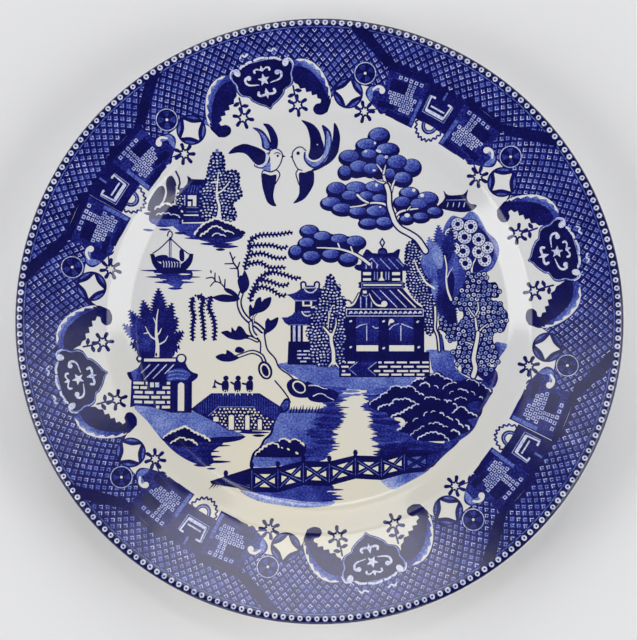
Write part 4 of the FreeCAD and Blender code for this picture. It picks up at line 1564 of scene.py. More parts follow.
def pine_crown():
    """Foliage of the crown and of the boughs on the right."""
    art = blob([(10, 66), (14, 72), (20, 76), (26, 78), (29, 72), (36, 67), (38, 62), (34, 57.5),
                (30.4, 57.6), (27, 61.5), (26, 59.8), (20, 61), (14, 60.6)], 0.95)
    art += cloud_tree([(25, 78.7, 3.7, 2.2), (19.9, 75, 3.8, 1.9), (28.6, 73, 4.2, 1.9),
                       (12.7, 70, 3.7, 2.2), (38.8, 65.8, 3.3, 2.5), (32.6, 67.5, 3.7, 2.6),
                       (20.8, 71, 2.9, 1.6), (10.8, 63.6, 2.2, 2), (35, 60.8, 3.3, 2.1),
                       (16.6, 65.6, 3.5, 2.2), (21.8, 64.6, 3, 2), (29.6, 62.6, 2, 1.8),
                       (25.9, 68.3, 1.8, 2.1)])
    for x, y, rx, ry, turn in ((23.4, 75.3, 0.5, 0.6, 0), (19.5, 72, 0.8, 0.6, 30), (24.9, 72, 1.3, 0.6, -25),
                               (23, 63.8, 0.7, 0.5, 0), (28.2, 69.5, 0.8, 0.7, 0)):
        art += patch(oval(x, y, rx, ry, turn, 8), 0.12)
    art += blob([(3, 52), (8, 57), (16, 57.5), (25, 57), (28.2, 54), (28.6, 49.5), (30, 46), (30.5, 41),
                 (24, 40), (18, 41), (14, 46), (8, 46)], 0.95)
    art += cloud_tree([(7.3, 56.3, 3.5, 2.2), (15.5, 56.7, 4, 2), (23.7, 57, 4, 1.9), (5, 50.4, 3.8, 1.8),
                       (12.7, 53.2, 3, 1.8), (19.8, 53.2, 2.7, 1.5), (25.2, 52, 2.8, 1.4),
                       (9.8, 47.9, 4, 1.7), (16.3, 46.6, 3.5, 1.5), (24, 46.7, 4, 2.0),
                       (20.6, 41.8, 3.4, 1.4), (27.2, 42.1, 3.1, 1.7)])
    art += blob([(32, 48), (34, 53), (42, 54), (48, 51), (51, 46), (48, 43.4), (38, 42.4), (34, 44)], 0.95)
    art += cloud_tree([(37.8, 54.6, 3.4, 1.8), (45.4, 52.3, 3.8, 2.1), (34.9, 50.6, 3, 1.9),
                       (41.8, 49.7, 3.2, 1.9), (48.4, 46.6, 2.8, 1.4), (42.6, 44.4, 3, 1.3),
                       (36.6, 43.4, 2.4, 1.2)])
    for x, y, rx, ry in ((43.2, 53.2, 0.9, 0.8), (39.7, 55.4, 0.8, 0.7), (36.9, 44.7, 1.2, 0.9),
                         (24, 57.6, 0.6, 0.7), (25.6, 48.3, 0.5, 0.4)):
        art += patch(oval(x, y, rx, ry, steps=10), 0.05)
    return art


def pine_low_bough():
    """The long bough on the left, with its foliage."""
    art = blob([(-11, 29), (-8, 34), (-4, 39), (4, 37), (16, 35), (17.5, 31), (14, 27), (6, 26),
                (-4, 26.6)], 0.95)
    art += cloud_tree([(-4.3, 38.6, 3.2, 1.7), (-5.4, 33.2, 2.9, 1.8), (-10, 29.8, 2.2, 1.9),
                       (-3.4, 27.6, 3.2, 1.8), (1.2, 36, 3.3, 1.6), (8.2, 34.9, 3.2, 1.5),
                       (15.2, 33.8, 3.5, 1.9), (4.8, 28.4, 3.3, 1.7), (12, 26.7, 3.3, 1.8)])
    art += curve([(20.6, 24.4), (18, 26.6), (14, 28.8), (8.6, 30.5), (3, 31), (-1, 31)], 2.2, 0.93, 1.0)
    art += curve([(21, 24), (18, 26.4), (14, 28.7), (8.6, 30.4), (3, 30.9), (-1, 31)], 1.2, 0.03, 0.4)
    art += curve([(8.6, 30.6), (7.8, 32.8)], 0.6, 0.05) + curve([(14, 29), (13.2, 31.4)], 0.6, 0.05)
    return art


def pine_trunk():
    """The trunk and the upper boughs, pale between dark edges."""
    art = []
    boughs = [([(28.8, 56), (27.4, 60), (26.6, 63), (24.2, 66.4)], 1.3, 0.4),
              ([(27, 62.4), (27.9, 66)], 0.8, 0.3), ([(30, 54.6), (30.8, 57.4), (31.8, 59.8)], 1.0, 0.5),
              ([(27.6, 58.4), (25.2, 59), (22.4, 60.6)], 0.8, 0.3),
              ([(29.6, 47.4), (27, 49.6), (22, 50), (17.6, 48.8), (13, 48.2)], 0.9, 0.5),
              ([(20.6, 50), (18, 51.4), (16, 53.4)], 0.7, 1.0),
              ([(31.4, 43.6), (33.6, 46), (37, 47), (41.4, 47.6)], 1.0, 0.5),
              ([(37, 47), (38.4, 48.6)], 0.6, 0.3)]
    for points, width, end in boughs:
        art += curve(points, width + 0.9, 0.95, end + 0.5) + curve(points, width, 0.02, end)
    line = [(28.2, 57.4), (29.2, 54), (29.4, 49), (30.6, 45), (31.8, 41.8), (34.2, 39), (37.8, 37),
            (41.4, 34.4), (44.6, 29.6)]
    art += curve(line, 2.9, 0.95, 3.4) + curve(line, 1.5, 0.02, 2.0)
    return art


def draw_pine():
    """The pine above the pagoda."""
    return pine_crown() + pine_low_bough() + pine_trunk()


def draw_far_roof():
    """A dark curved roof seen beyond the pine."""
    art = blob([(52.2, 55.2), (54, 53.4), (57.5, 53.2), (60.6, 53.5), (62.3, 55.2), (61.9, 52),
                (63.2, 49.6), (66, 48.7), (64.4, 46.7), (60, 46), (54, 46.8), (50, 48.4), (51.8, 50.6),
                (52.8, 52.6)], 0.97)
    for x in (54.2, 56.6, 59.0, 61.2):
        art += stroke([(x, 50.2), (x - 0.5, 48.2)], 0.35, 0.2, ends=False)
    art += stroke([(53.5, 51.2), (61.4, 51.2)], 0.3, 0.35)
    return art


def scroll(x, y, r, tail):
    """A white eave scroll: a ball with a curved tail, both with dark edges."""
    art = curve(tail, 1.9, 0.95, 1.3) + patch(oval(x, y, r + 0.65, steps=20), 0.95)
    return art + curve(tail, 0.95, 0.03, 0.35) + patch(oval(x, y, r, steps=18), 0.02)


def pagoda_top():
    """Finial, dome and upper roof."""
    art = patch([(26.4, 35.4), (27.7, 33.2), (26.4, 30.6), (25.1, 33.2)], 0.92)
    art += patch([(26.4, 34.3), (27.0, 33.2), (26.4, 32.0), (25.8, 33.2)], 0.1)
    art += patch([(18.2, 28), (19.6, 30.4), (20.6, 30.2), (22.2, 28.8), (24.4, 28.6), (24.6, 29.6)]
                 + arc(26.5, 29, 2.1, 165, 15, 8)
                 + [(28.6, 28.8), (31, 29), (33, 30.5), (34, 30.3), (33.2, 26.6)], 0.94)
    art += blob(arc(26.5, 28.6, 1.5, 180, 0, 6), 0.72, 2)
    art += patch([(18.2, 28), (33.2, 27), (35, 24.4), (37.9, 23), (37.6, 21.2), (16.8, 21.2), (15.2, 21.8),
                  (14.5, 22.8), (15.4, 23.8), (17.4, 24)], 0.86)
    art += patch([(18.2, 26.8), (33, 26.8), (36, 22), (18, 22)], 0.76)
    for a, b in (((22, 26.6), (24.6, 23.6)), ((25.5, 26.4), (29.6, 22.0)), ((29, 26.3), (33, 22)),
                 ((32.4, 26), (35.2, 23.2))):
        art += stroke([a, b], 0.34, 0.25)
    for x, top, low in ((19.6, 24.8, 22.3), (21.9, 24.8, 22.4), (24.2, 23.5, 22.5)):
        art += stroke([(x, top), (x, low)], 0.5, 0.2)
    art += curve([(19.2, 26.2), (20.4, 25.3), (21.8, 26.4)], 0.4, 0.3)
    return art


def pagoda_upper_storey():
    """The upper storey with white panels, a vase and its balcony."""
    art = box(17.4, 16.6, 34.9, 21.4, 0.94)
    for x in (18.3, 30.5):
        art += box(x, 19.4, x + 3.35, 20.7, 0.02) + box(x, 17.1, x + 3.35, 18.1, 0.02)
    for x in (23.1, 24.3, 27.9, 29.1):
        art += stroke([(x, 20.7), (x, 17.6)], 0.4, 0.3)
    art += patch([(25.7, 20.8), (26.5, 20.8), (26.5, 18.6), (27.4, 17.1), (24.6, 17.1), (25.7, 18.6)], 0.03)
    art += blob([(17, 16.6), (16.7, 15.2), (17, 13.9), (26, 13.6), (35.3, 13.9), (35.7, 15.2), (35.3, 16.4),
                 (26, 16.8)], 0.9, 3)
    art += stroke([(17.8, 16.1), (34.9, 16.1), (35, 14.1), (17.7, 14.1), (17.8, 16.1)], 0.28, 0.4)
    art += box(18.4, 14.95, 34.4, 15.6, 0.03)
    return art


def pagoda_lower_roof():
    """The lower roof with scrolled eaves."""
    art = patch([(17.4, 13.8), (35, 13.8)] + smooth([(36, 12.6), (38.4, 9.8), (41, 7.2), (43.6, 5.4)])
                + [(12.5, 5.4)] + smooth([(13.8, 7.6), (15.6, 9.6), (16.8, 12)]), 0.9)
    art += patch([(22, 12.8), (33, 12.8), (40.4, 6.2), (27, 6.2)], (0.78, 0.95, (22, 10), (40, 9)))
    for a, b, width, ink in (((22.1, 12.9), (25.7, 9.1), 0.36, 0.24), ((25.5, 13), (32.4, 6), 0.4, 0.18),
                             ((29.5, 13), (36.3, 6), 0.4, 0.2), ((33, 13.2), (40.2, 5.9), 0.55, 0.04)):
        art += stroke([a, b], width, ink)
    art += box(18.2, 11.7, 19.8, 12.9, 0.03) + curve([(18.1, 11), (19.2, 10.5), (20.4, 11)], 0.4, 0.3)
    for x in (17.3, 19.7, 21.8):
        art += stroke([(x, 10.2), (x, 6)], 0.45, 0.24)
    art += scroll(11.8, 7.3, 1.25, [(12.6, 6.5), (14.2, 7.2), (15.4, 9), (16.6, 11.6)])
    art += scroll(27.2, 7.3, 1.3, [(26.6, 6.5), (24.2, 6.8), (22.4, 8.6), (20.9, 11.6)])
    return art


def pagoda_fascia():
    """The scalloped fascia."""
    art = box(10.6, 1.6, 44.1, 5.7, 0.95)
    art += stroke([(11.3, 5.1), (43.5, 5.1), (43.5, 2.2), (11.3, 2.2), (11.3, 5.1)], 0.42, 0.1)
    for k in range(15):
        art += blob([(12.2 + 2.07 * k, 3.1), (13.2 + 2.07 * k, 4.4), (14.1 + 2.07 * k, 3.4),
                     (13.3 + 2.07 * k, 3.3)], 0.12, 3)
    return art


def pagoda_body():
    """Dark posts, curtains, lanterns and white panels."""
    art = patch([(10.2, 1.6), (43.9, 1.6), (43.9, -13), (10.2, -13)], 0.96)
    art += patch([(15.4, 1.6), (24.8, 1.6), (24.6, -9.8), (15.4, -9.8)], (0.72, 0.84, (20, 1.6), (20, -9.8)))
    art += patch([(29, 1.6), (39.4, 1.6), (39.4, -9.8), (29, -9.8)], (0.74, 0.86, (34, 1.6), (34, -9.8)))
    for swag in ([(15.5, -2.7), (17.4, -1.6), (20, -1.1)], [(22.4, -2.2), (23.4, -2.9), (24.6, -2.8)],
                 [(29.3, -3.4), (31, -1.8), (33.2, -1.0)], [(34.4, -1.1), (36.4, -1.9), (39.1, -3)]):
        art += curve(swag, 0.42, 0.2, 0.3)
    for x in (19.8, 34.1):
        art += stroke([(x, -2), (x, -8)], 0.42, 0.2)
    art += box(15.5, -12.6, 24.6, -10.1, 0.02) + box(29.2, -12.6, 39.6, -10.1, 0.02)
    for x, y in ((13.1, 0), (26.9, 0), (41.2, -0.2), (13.1, -10.9), (26.9, -11.3), (41.6, -10.9)):
        art += blob(oval(x, y, 0.65, 0.45, 30, 6), 0.1, 2)
    art += blob([(28.9, -1.8), (29.2, 0.4), (30.3, 1.0), (31.4, 0.1), (30.8, -0.6), (29.8, -0.8)], 0.05)
    art += box(8.9, -16.3, 46, -12.9, 0.97)
    return art


def pagoda_plinth():
    """A plinth of long stones, with steps."""
    art = box(8.2, -23.5, 46.2, -16.2, 0.95)
    art += patch([(15.8, -17), (25, -17), (20.3, -20), (24, -23), (15.6, -23), (13, -20)], 0.82)
    courses = [(-17.3, (9.5, 11.0), (11.8, 14.8), (24.6, 26.0), (27.1, 31.2), (32.3, 36.6), (37.8, 41.9),
                (43.0, 45.8)),
               (-19.1, (9.2, 12.2), (24.8, 28.4), (29.8, 34.2), (35.1, 39.4), (40.7, 45.8)),
               (-20.9, (9.5, 10.8), (22.8, 25.4), (26.8, 31.0), (32.4, 37.1), (37.8, 41.9), (43.1, 45.8)),
               (-22.4, (9.2, 13.0), (24.8, 29.0), (30.1, 34.4), (35.3, 39.7), (40.7, 43.9))]
    art += bricks(courses, 0.8, 0.06)
    for x in (15.8, 23.8):
        art += curve([(x, -17.2), (x - 3.4, -19.9)], 0.34, 0.25)
        art += curve([(x - 3.4, -20.1), (x - 0.4, -22.6)], 0.34, 0.4)
    return art


def draw_pagoda():
    """The pagoda, from its finial down to its plinth."""
    return (pagoda_top() + pagoda_upper_storey() + pagoda_lower_roof() + pagoda_fascia() + pagoda_body()
            + pagoda_plinth())


def draw_pavilion():
    """The small pavilion between the willow and the pagoda."""
    art = patch([(-7.8, 13.8)] + smooth([(-9.6, 12.3), (-11.6, 11.6), (-13.8, 11.2)])
                + smooth([(-12.2, 10.2), (-10.4, 8.8)]) + [(4, 8.8), (4, 13), (0, 14)], 0.78)
    for knob in ([(-7.6, 13.8), (-7.7, 16), (-6.7, 16.6), (-5.8, 16), (-5.6, 14.8), (-4, 14.7)],
                 [(-4, 14.7), (-2.2, 14.8), (-2, 16), (-1.1, 16.6), (-0.1, 16), (-0.2, 13.8)]):
        art += curve(knob, 0.75, 0.92)
    art += stroke([(-6.5, 14.3), (-1.4, 14.3)], 0.35, 0.3)
    art += curve([(-6.2, 13.4), (-4.8, 12.2), (-2.8, 12.2), (-1.2, 13.6)], 0.6, 0.1, 0.5)
    art += stroke([(-10.6, 8.8), (0, 8.8)], 0.32, 0.4)
    art += patch([(-10.2, 8.5), (2, 8.5), (2, 4), (-10.4, 4)], 0.93)
    art += stroke([(-6.8, 8.2), (-6.8, 6.6), (-3.5, 6.6), (-3.5, 8.2)], 0.95, 0.05)
    art += box(-5.9, 7.3, -4.4, 8.5, 0.95) + stroke([(-3.3, 5.8), (-0.6, 6.3)], 0.7, 0.1)
    art += patch([(-10, 4.4), (2, 4.4), (2, -1.8), (-12.8, -1.8)]
                 + smooth([(-14.6, -0.6), (-15.8, 1.6)]) + smooth([(-13.4, 1.7), (-11.4, 2.7)]), 0.8)
    art += curve([(-7.3, 4), (-6.6, 2.8), (-5, 2.2), (-3.4, 2.8)], 0.6, 0.08, 0.4)
    art += stroke([(-6.4, 3.9), (-4, 4)], 0.4, 0.2)
    art += stroke([(-12.4, -1.5), (-4.4, -1.5)], 0.32, 0.4)
    for x in (-11.6, -9.5, -7.4):
        art += box(x - 0.55, -8.8, x + 0.5, -1.7, 0.94)
    for x in (-10.4, -8.4):
        art += box(x - 0.45, -8.8, x + 0.3, -1.9, 0.15)
    art += patch([(-13, -8.5), (4, -8.5), (4, -18.4), (-13.4, -18.2)], 0.97)
    art += bricks([(-12.5, (-9.3, -7.6), (-6.7, -4.0)), (-14.0, (-9.4, -5.4), (-4.6, -3.4)),
                   (-15.5, (-9.3, -7.6), (-6.7, -3.3)), (-16.9, (-8.0, -5.5))], 0.6, 0.15)
    return art


def draw_cypress(rng):
    """The tall beaded tree left of the pagoda."""
    outline = [(4.7, 19.3), (6, 17.8), (6.6, 15.4), (8.2, 15), (8.4, 12.4), (8.8, 10), (10.6, 9.6),
               (10.4, 5), (10.8, -4), (10.2, -16), (8, -18.4), (-2, -18), (-3.4, -13), (-4, -8), (-5.3, -5),
               (-4.6, -2.6), (-3.6, 0), (-3, 2.6), (-1.6, 5), (-0.6, 8), (0, 11), (1.8, 13), (2.2, 14.6),
               (3.2, 16), (3.2, 18)]
    art = beaded_tree(outline, rng, 1.5)
    for points, width, end in (([(1.6, -2.4), (3, -4), (4.6, -6)], 1.5, 2.2),
                               ([(6.9, 2.6), (6.9, -1.6), (5.6, -5.6)], 1.2, 2.0),
                               ([(4.8, -5.4), (5, -9), (5.8, -12.6), (5.9, -17.4)], 2.3, 2.6)):
        art += curve(points, width, 0.93, end)
    for points, width, end in (([(3.9, 4.2), (3.8, 0), (3.7, -3)], 0.35, 0.3),
                               ([(5.5, 6.6), (4.6, 4.4), (4.1, 1)], 0.3, 0.3),
                               ([(1.6, -2.4), (3, -4), (4.8, -6.2)], 0.6, 1.1),
                               ([(6.9, 1.2), (6.9, -1.6), (5.4, -6)], 0.3, 0.9),
                               ([(4.9, -5.6), (5, -9), (5.8, -12.6), (5.9, -17.6)], 1.3, 1.5),
                               ([(5.6, -17), (3.9, -19.2)], 0.9, 0.3),
                               ([(6.2, -17), (8, -19.3)], 0.9, 0.3)):
        art += curve(points, width, 0.04, end)
    return art


def ring_blossom(x, y, r):
    """A round blossom: a white ring with dark dots about a dark heart."""
    art = patch(oval(x, y, r + 0.4, steps=20), 0.92) + patch(oval(x, y, r, steps=20), WHITE)
    count = round(2.0 * math.pi * r / 1.7)
    for px, py in oval(x, y, r - 0.75, steps=count):
        art += patch(oval(px, py, 0.3, steps=6), 0.85)
    return art + patch(oval(x, y, r - 1.55, steps=12), 0.95)


def draw_blossom_tree():
    """Round blossoms on a dark bush, far right."""
    art = blob([(52, 36), (53, 41), (56, 44.6), (60, 43.6), (63, 46.2), (66, 45.2), (68.6, 41),
                (70.4, 37.6), (74, 34), (75.4, 29.6), (74.4, 25.4), (72, 21.6), (66, 19.4), (58, 20),
                (55, 26)], (0.42, 0.6, (70, 42), (60, 24)))
    art += blob([(54, 36), (56, 42), (62, 43), (67, 40), (72.6, 33), (73, 27), (70.4, 23), (65, 20.6),
                 (59, 22), (56, 28)], 0.82)
    art += curve([(63.8, 20), (64.2, 23.4), (65.6, 26.4)], 0.9, 0.06, 0.4)
    for x, y, r in ((61.2, 24.4, 2.8), (69.4, 25.9, 2.8), (66.9, 29.3, 2.7), (60.3, 29.6, 2.8),
                    (56.5, 30.7, 2.6), (70.6, 31.0, 2.5), (66.9, 34.5, 2.7), (61.0, 35.6, 2.9),
                    (55.4, 36.7, 2.7), (58.1, 41.0, 2.6), (63.6, 40.0, 2.8)):
        art += ring_blossom(x, y, r)
    return art


def ring_foliage(points, rng, pitch=2.2, size=0.82):
    """Foliage drawn as many small pale rings on a dark ground."""
    outline = smooth(points, True, 4)
    art = patch(outline, 0.92)
    for x, y in scattered(outline, pitch, pitch * 0.84, rng):
        r = size * rng.uniform(0.9, 1.15)
        art += patch(oval(x, y, r + 0.45, steps=10), 0.92)
        art += patch(oval(x, y, r, r * 0.92, steps=10), rng.uniform(0.1, 0.42))
        art += patch(oval(x, y - 0.05, r * 0.5, r * 0.45, steps=8), 0.92)
    return art


def feathery_tree(rng):
    """A feathery tree that fades from pale to dark."""
    art = ragged([(43.6, 28), (46, 31), (50, 33), (55, 32), (58, 26), (61, 20), (60.6, 14), (57, 9.6),
                  (55.4, 8), (57, 3), (57.6, -1.6), (54, -3), (51, -1), (49, 6), (46.4, 12), (44.4, 15),
                  (42.6, 19), (42.6, 24)], 0.8, 0.9, (0.6, 0.86, (47, 29), (56, 4)), rng)
    for root, tip, width, ink in (((52, 24), (50, 40.4), 5.6, 0.68), ((53, 24), (55.6, 39), 6, 0.8),
                                  ((50, 22), (46, 35.4), 5.4, 0.44), ((51, 22), (48.6, 33), 4.6, 0.36),
                                  ((49, 18), (43.4, 29.6), 5.4, 0.46), ((50, 16), (43, 24), 4, 0.56),
                                  ((55, 12), (57.4, 28), 4.6, 0.58), ((57, 8), (60.6, 22), 5, 0.66),
                                  ((50, 2), (48, 18), 4.4, 0.44), ((52, 0), (50.6, 15), 4.6, 0.8),
                                  ((54, -3), (53.6, 14), 5, 0.9), ((56, -2), (56.4, 8), 3, 0.9)):
        art += plume(root, tip, width, ink, 0.05, 1.1)
    art += blob([(54.6, 21.4), (56.4, 19.6), (56.6, 14.6), (55.6, 10.8), (54.2, 13.6), (53.9, 18)], 0.94)
    art += curve([(52.6, 28), (53.4, 23), (53.2, 17.6), (53.8, 13), (55.2, 9), (57, 5.8)], 1.5, 0.92, 1.2)
    art += curve([(52.6, 27.6), (53.4, 23), (53.2, 17.6), (53.8, 13), (55.2, 9)], 0.5, 0.05, 0.9)
    art += curve([(53.4, 18), (54.6, 20.6), (56, 22.6)], 0.4, 0.2)
    return art


def leaning_tree(rng):
    """A beaded tree that leans over a small ringed bush."""
    art = beaded_tree([(37, 32), (39.4, 33.8), (41, 31.8), (42.4, 29.6), (41.8, 26), (43, 21), (45.6, 16.8),
                       (46.4, 12.6), (48.2, 8), (48.8, 3), (48.4, -1), (46.8, -5.4), (45, -4.8), (43.9, -1),
                       (44, 4), (43.4, 7), (40, 9.8), (38, 13), (36.8, 16), (37, 20), (36.4, 23),
                       (36.2, 27)], rng, 1.35)
    art += curve([(39.8, 26), (41, 22.6), (42.6, 19.8), (44.6, 16.4), (48.2, 13.8)], 0.45, 0.08, 0.9)
    art += ring_foliage([(50, 1), (52, 2), (54, -0.4), (57, 0), (58, -4), (57, -8), (54.4, -8.2), (52.6, -5),
                         (50.6, -3.4)], rng, 1.9, 0.6)
    line = [(48.5, 6), (48.6, 1), (48.4, -3), (49.6, -6.4), (50.2, -12.4)]
    art += curve(line, 1.9, 0.93, 1.9) + curve(line, 0.8, 0.02, 0.5)
    art += curve([(49.6, -3.6), (51.4, -7.4), (52.1, -12.4)], 0.7, 0.92)
    art += curve([(51, -6), (51.2, -12)], 0.9, 0.7)
    return art


def ringed_tree(rng):
    """A tree of small rings on a tall forked trunk."""
    art = ring_foliage([(62.4, 20.6), (66, 20), (68.6, 20.6), (70.4, 19), (71, 16.4), (74, 16.4),
                        (75.4, 13), (75, 10), (72, 9.8), (73, 8.6), (76, 8), (77.4, 5.4), (79, 3),
                        (78.6, -1), (77, -4.6), (74, -4.4), (72.6, -6.6), (73, -9), (74.4, -12), (75, -16),
                        (73, -21), (68, -22.6), (61.6, -22.8), (58, -20.6), (57, -17), (55.8, -13),
                        (57.4, -11), (57.6, -8), (56.6, -5), (58, -1), (60, 1.4), (60, 4), (57.4, 6),
                        (56.6, 8.6), (58.4, 11.6), (60, 14.6), (61.4, 18)], rng)
    boughs = [([(66.2, -5.4), (65.6, -1), (65.4, 2.2), (66.6, 5), (66.4, 8)], 0.9, 0.4),
              ([(65, 2), (63.6, 3.8), (62.4, 5.6)], 0.5, 0.4),
              ([(66.2, -5.4), (68, -3), (70.4, -1.2)], 0.7, 0.3),
              ([(65.4, -10.4), (63, -9.4), (61, -8.8)], 0.7, 0.3)]
    for points, width, end in boughs:
        art += curve(points, width + 0.9, 0.94, end + 0.6) + curve(points, width, 0.05, end)
    line = [(66.4, -4.8), (66, -8), (65.2, -11.6), (64.5, -16), (65.2, -19.6), (64.3, -23)]
    art += curve(line, 2.3, 0.94, 3.2) + curve(line, 1.3, 0.02, 1.8)
    art += patch([(57.6, -20), (58.8, -18.2), (59.4, -19.8), (59.2, -21.6)], 0.06)
    art += box(71.5, -19.2, 73, -18.2, 0.08)
    return art


def draw_right_trees(rng):
    """The trees to the right of the pagoda."""
    return feathery_tree(rng) + leaning_tree(rng) + ringed_tree(rng)


def land():
    """Land left of the path, then right of it."""
    art = blob([(-17.5, -18), (-8, -16.8), (4, -17), (10, -19), (14, -25), (11, -29), (7, -33), (6, -40),
                (3.4, -47), (3.4, -53), (2, -58), (-12, -60), (-27, -61), (-28, -57), (-25, -53),
                (-21, -48.4), (-19.6, -43), (-17, -37.5), (-13, -33), (-8.6, -25), (-12.6, -22),
                (-15.6, -19.8)], (0.46, 0.7, (-14, -42), (4, -50)))
    art += blob([(-17, -38.6), (-12, -38.4), (-2, -38.2), (-4, -44), (-6, -49), (-13, -48.6), (-18, -47.6),
                 (-19.4, -43.4)], (0.42, 0.56, (-16, -40), (-4, -46)))
    art += patch([(-17, -19), (0, -17.4), (12, -22), (40, -23), (41, -25), (37, -28), (30, -28.6),
                  (24, -28.4), (14, -28), (0, -27), (-11, -22.8)], (0.5, 0.44, (-15, -20), (30, -26)))
    art += blob([(20, -29), (28, -28), (32, -32), (30, -38), (34, -44), (40, -47), (44, -50), (54, -51),
                 (60, -47.4), (57, -51.8), (52, -56), (47, -60), (38, -57), (27, -57), (27, -50), (26, -44),
                 (24, -38), (21, -33)], (0.56, 0.76, (24, -36), (44, -55)))
    art += blob([(68, -25), (72.4, -28.4), (71, -32), (68, -37), (66.4, -41), (64, -45.6), (59, -49.6),
                 (52, -53), (54, -47), (60, -42), (66, -33)], 0.68)
    art += blob([(44.6, -12.4), (50, -12), (56.2, -13), (56.4, -17.6), (58, -21), (63, -24), (70, -25),
                 (60, -26.4), (52, -24), (47.4, -21), (46.4, -16.4)], (0.46, 0.7, (48, -14), (60, -24)))
    art += blob([(73, -22), (75, -16), (78.6, -10.4), (76, -9), (73, -10), (72, -22)],
                (0.85, 0.4, (73, -14), (78, -12)))
    art += blob([(66, -22), (73, -20), (74.6, -24), (72.6, -28), (69, -25)], 0.78)
    return art


def streaks(rng):
    """Water streaks along both sides of the path and over the land."""
    art = []
    left_edge = [(-31, 13), (-34, 11.6), (-38, 11.4), (-43, 9.8), (-46, 6.8), (-50, 8.6), (-54, 7),
                 (-57, 5.6)]
    right_edge = [(-31, 18.6), (-35, 17.6), (-40, 19.6), (-44, 20.6), (-48, 22.4), (-51, 21.4), (-55, 23)]
    for edge, side in ((left_edge, 1.0), (right_edge, -1.0)):
        heights, tips = zip(*edge[::-1])
        y = -56.6
        while y < -31.0:
            tip = float(np.interp(y, heights, tips)) + side * rng.uniform(-2.6, 1.2)
            spread = sorted((tip, tip - side * rng.uniform(8.0, 13.0)))
            art += water([(spread[0], spread[1], y)], rng.uniform(0.58, 0.84), rng, 1.0)
            y += rng.uniform(0.5, 0.85)
    for left, right, y, ink in ((-2, 9, -41, 0.78), (-6, 8, -47.4, 0.76), (-2, 7, -50.6, 0.8),
                                (-8, 5, -54.6, 0.74), (24, 34, -42.4, 0.8), (26, 40, -48.4, 0.74),
                                (27, 46, -52, 0.82), (30, 50, -55, 0.86), (-12, -1, -44, 0.5),
                                (-26, -12, -58.4, 0.5), (14, 28, -24.6, 0.42)):
        art += water([(left, right, y)], ink, rng, 2.0)
    art += water([(9, 17, -29.4), (15.6, 24, -28.4), (8, 15, -31), (17.2, 25, -30.4), (11, 19.6, -28.2),
                  (14, 17.6, -30.8)], 0.48, rng, 0.9)
    return art


def root_bank(rng):
    """The bank by the willow's roots, and a comb of grass."""
    art = blob([(-16.4, -35.4), (-14.6, -32.6), (-12.8, -32.4), (-11.8, -34), (-12.4, -36.4),
                (-14.4, -38.2), (-17.4, -38.4)], 0.92)
    art += blob([(-15.9, -35.6), (-14.3, -33.4), (-13, -33.6), (-13.2, -36), (-15, -37.6)], 0.62)
    art += patch([(-12, -31), (0, -31), (2, -36), (-1, -37), (-12.4, -36.8)], BARE)
    for k in range(11):
        x = -12.6 + 1.28 * k
        art += patch([(x - 0.3, -38.6), (x + 0.9, -38.4),
                      (x + rng.uniform(0.6, 1.5), -35.2 + rng.uniform(-0.6, 0.4))], 0.93)
    art += curve([(0.4, -34.4), (2.6, -35.4)], 0.6, 0.1)
    return art


def shore_line(rng):
    """The dark outline of the shore."""
    art = curve([(-17, -37.6), (-19.2, -43), (-20.2, -47), (-23, -49.8), (-24.6, -52.8), (-27.4, -55.4),
                 (-28.6, -59.4)], 1.0, 0.93)
    art += water([(-28, -7, -56.4)], 0.9, rng, 1.2)
    return art


def draw_ground(rng):
    """Land, water and the streaked edges of the white path."""
    return land() + streaks(rng) + root_bank(rng) + shore_line(rng)


def left_rocks(rng):
    """The small rocks left of the path."""
    art = blob([(-27.2, -56.6), (-26.6, -54.6), (-23, -52.2), (-20.6, -50.8), (-17.6, -50.4), (-15.6, -49),
                (-12.6, -49.6), (-10, -49), (-7.6, -50.4), (-5.4, -52.8), (-7.4, -56.6), (-16, -57)], 0.97)
    art += ridge([(-26.8, -56), (-25, -54.4), (-22.8, -52.8), (-21.2, -51.6), (-19.4, -51.1),
                  (-17.8, -51.7), (-17, -52.7)], rng, 0.75)
    art += ridge([(-16.8, -50.2), (-15.4, -49.2), (-14, -49.4), (-12.6, -50.6), (-11, -49.4), (-9.4, -49.6),
                  (-7.8, -50.9), (-6.4, -52.2)], rng, 0.55)
    for x, y, r in ((-12.6, -50.3, 0.8), (-13, -53.6, 0.7), (-15.6, -53, 0.5), (-9.4, -55.2, 0.8),
                    (-7, -51.6, 0.5)):
        art += patch(oval(x, y, r, r * 0.6, -35, 8), 0.08)
    return art


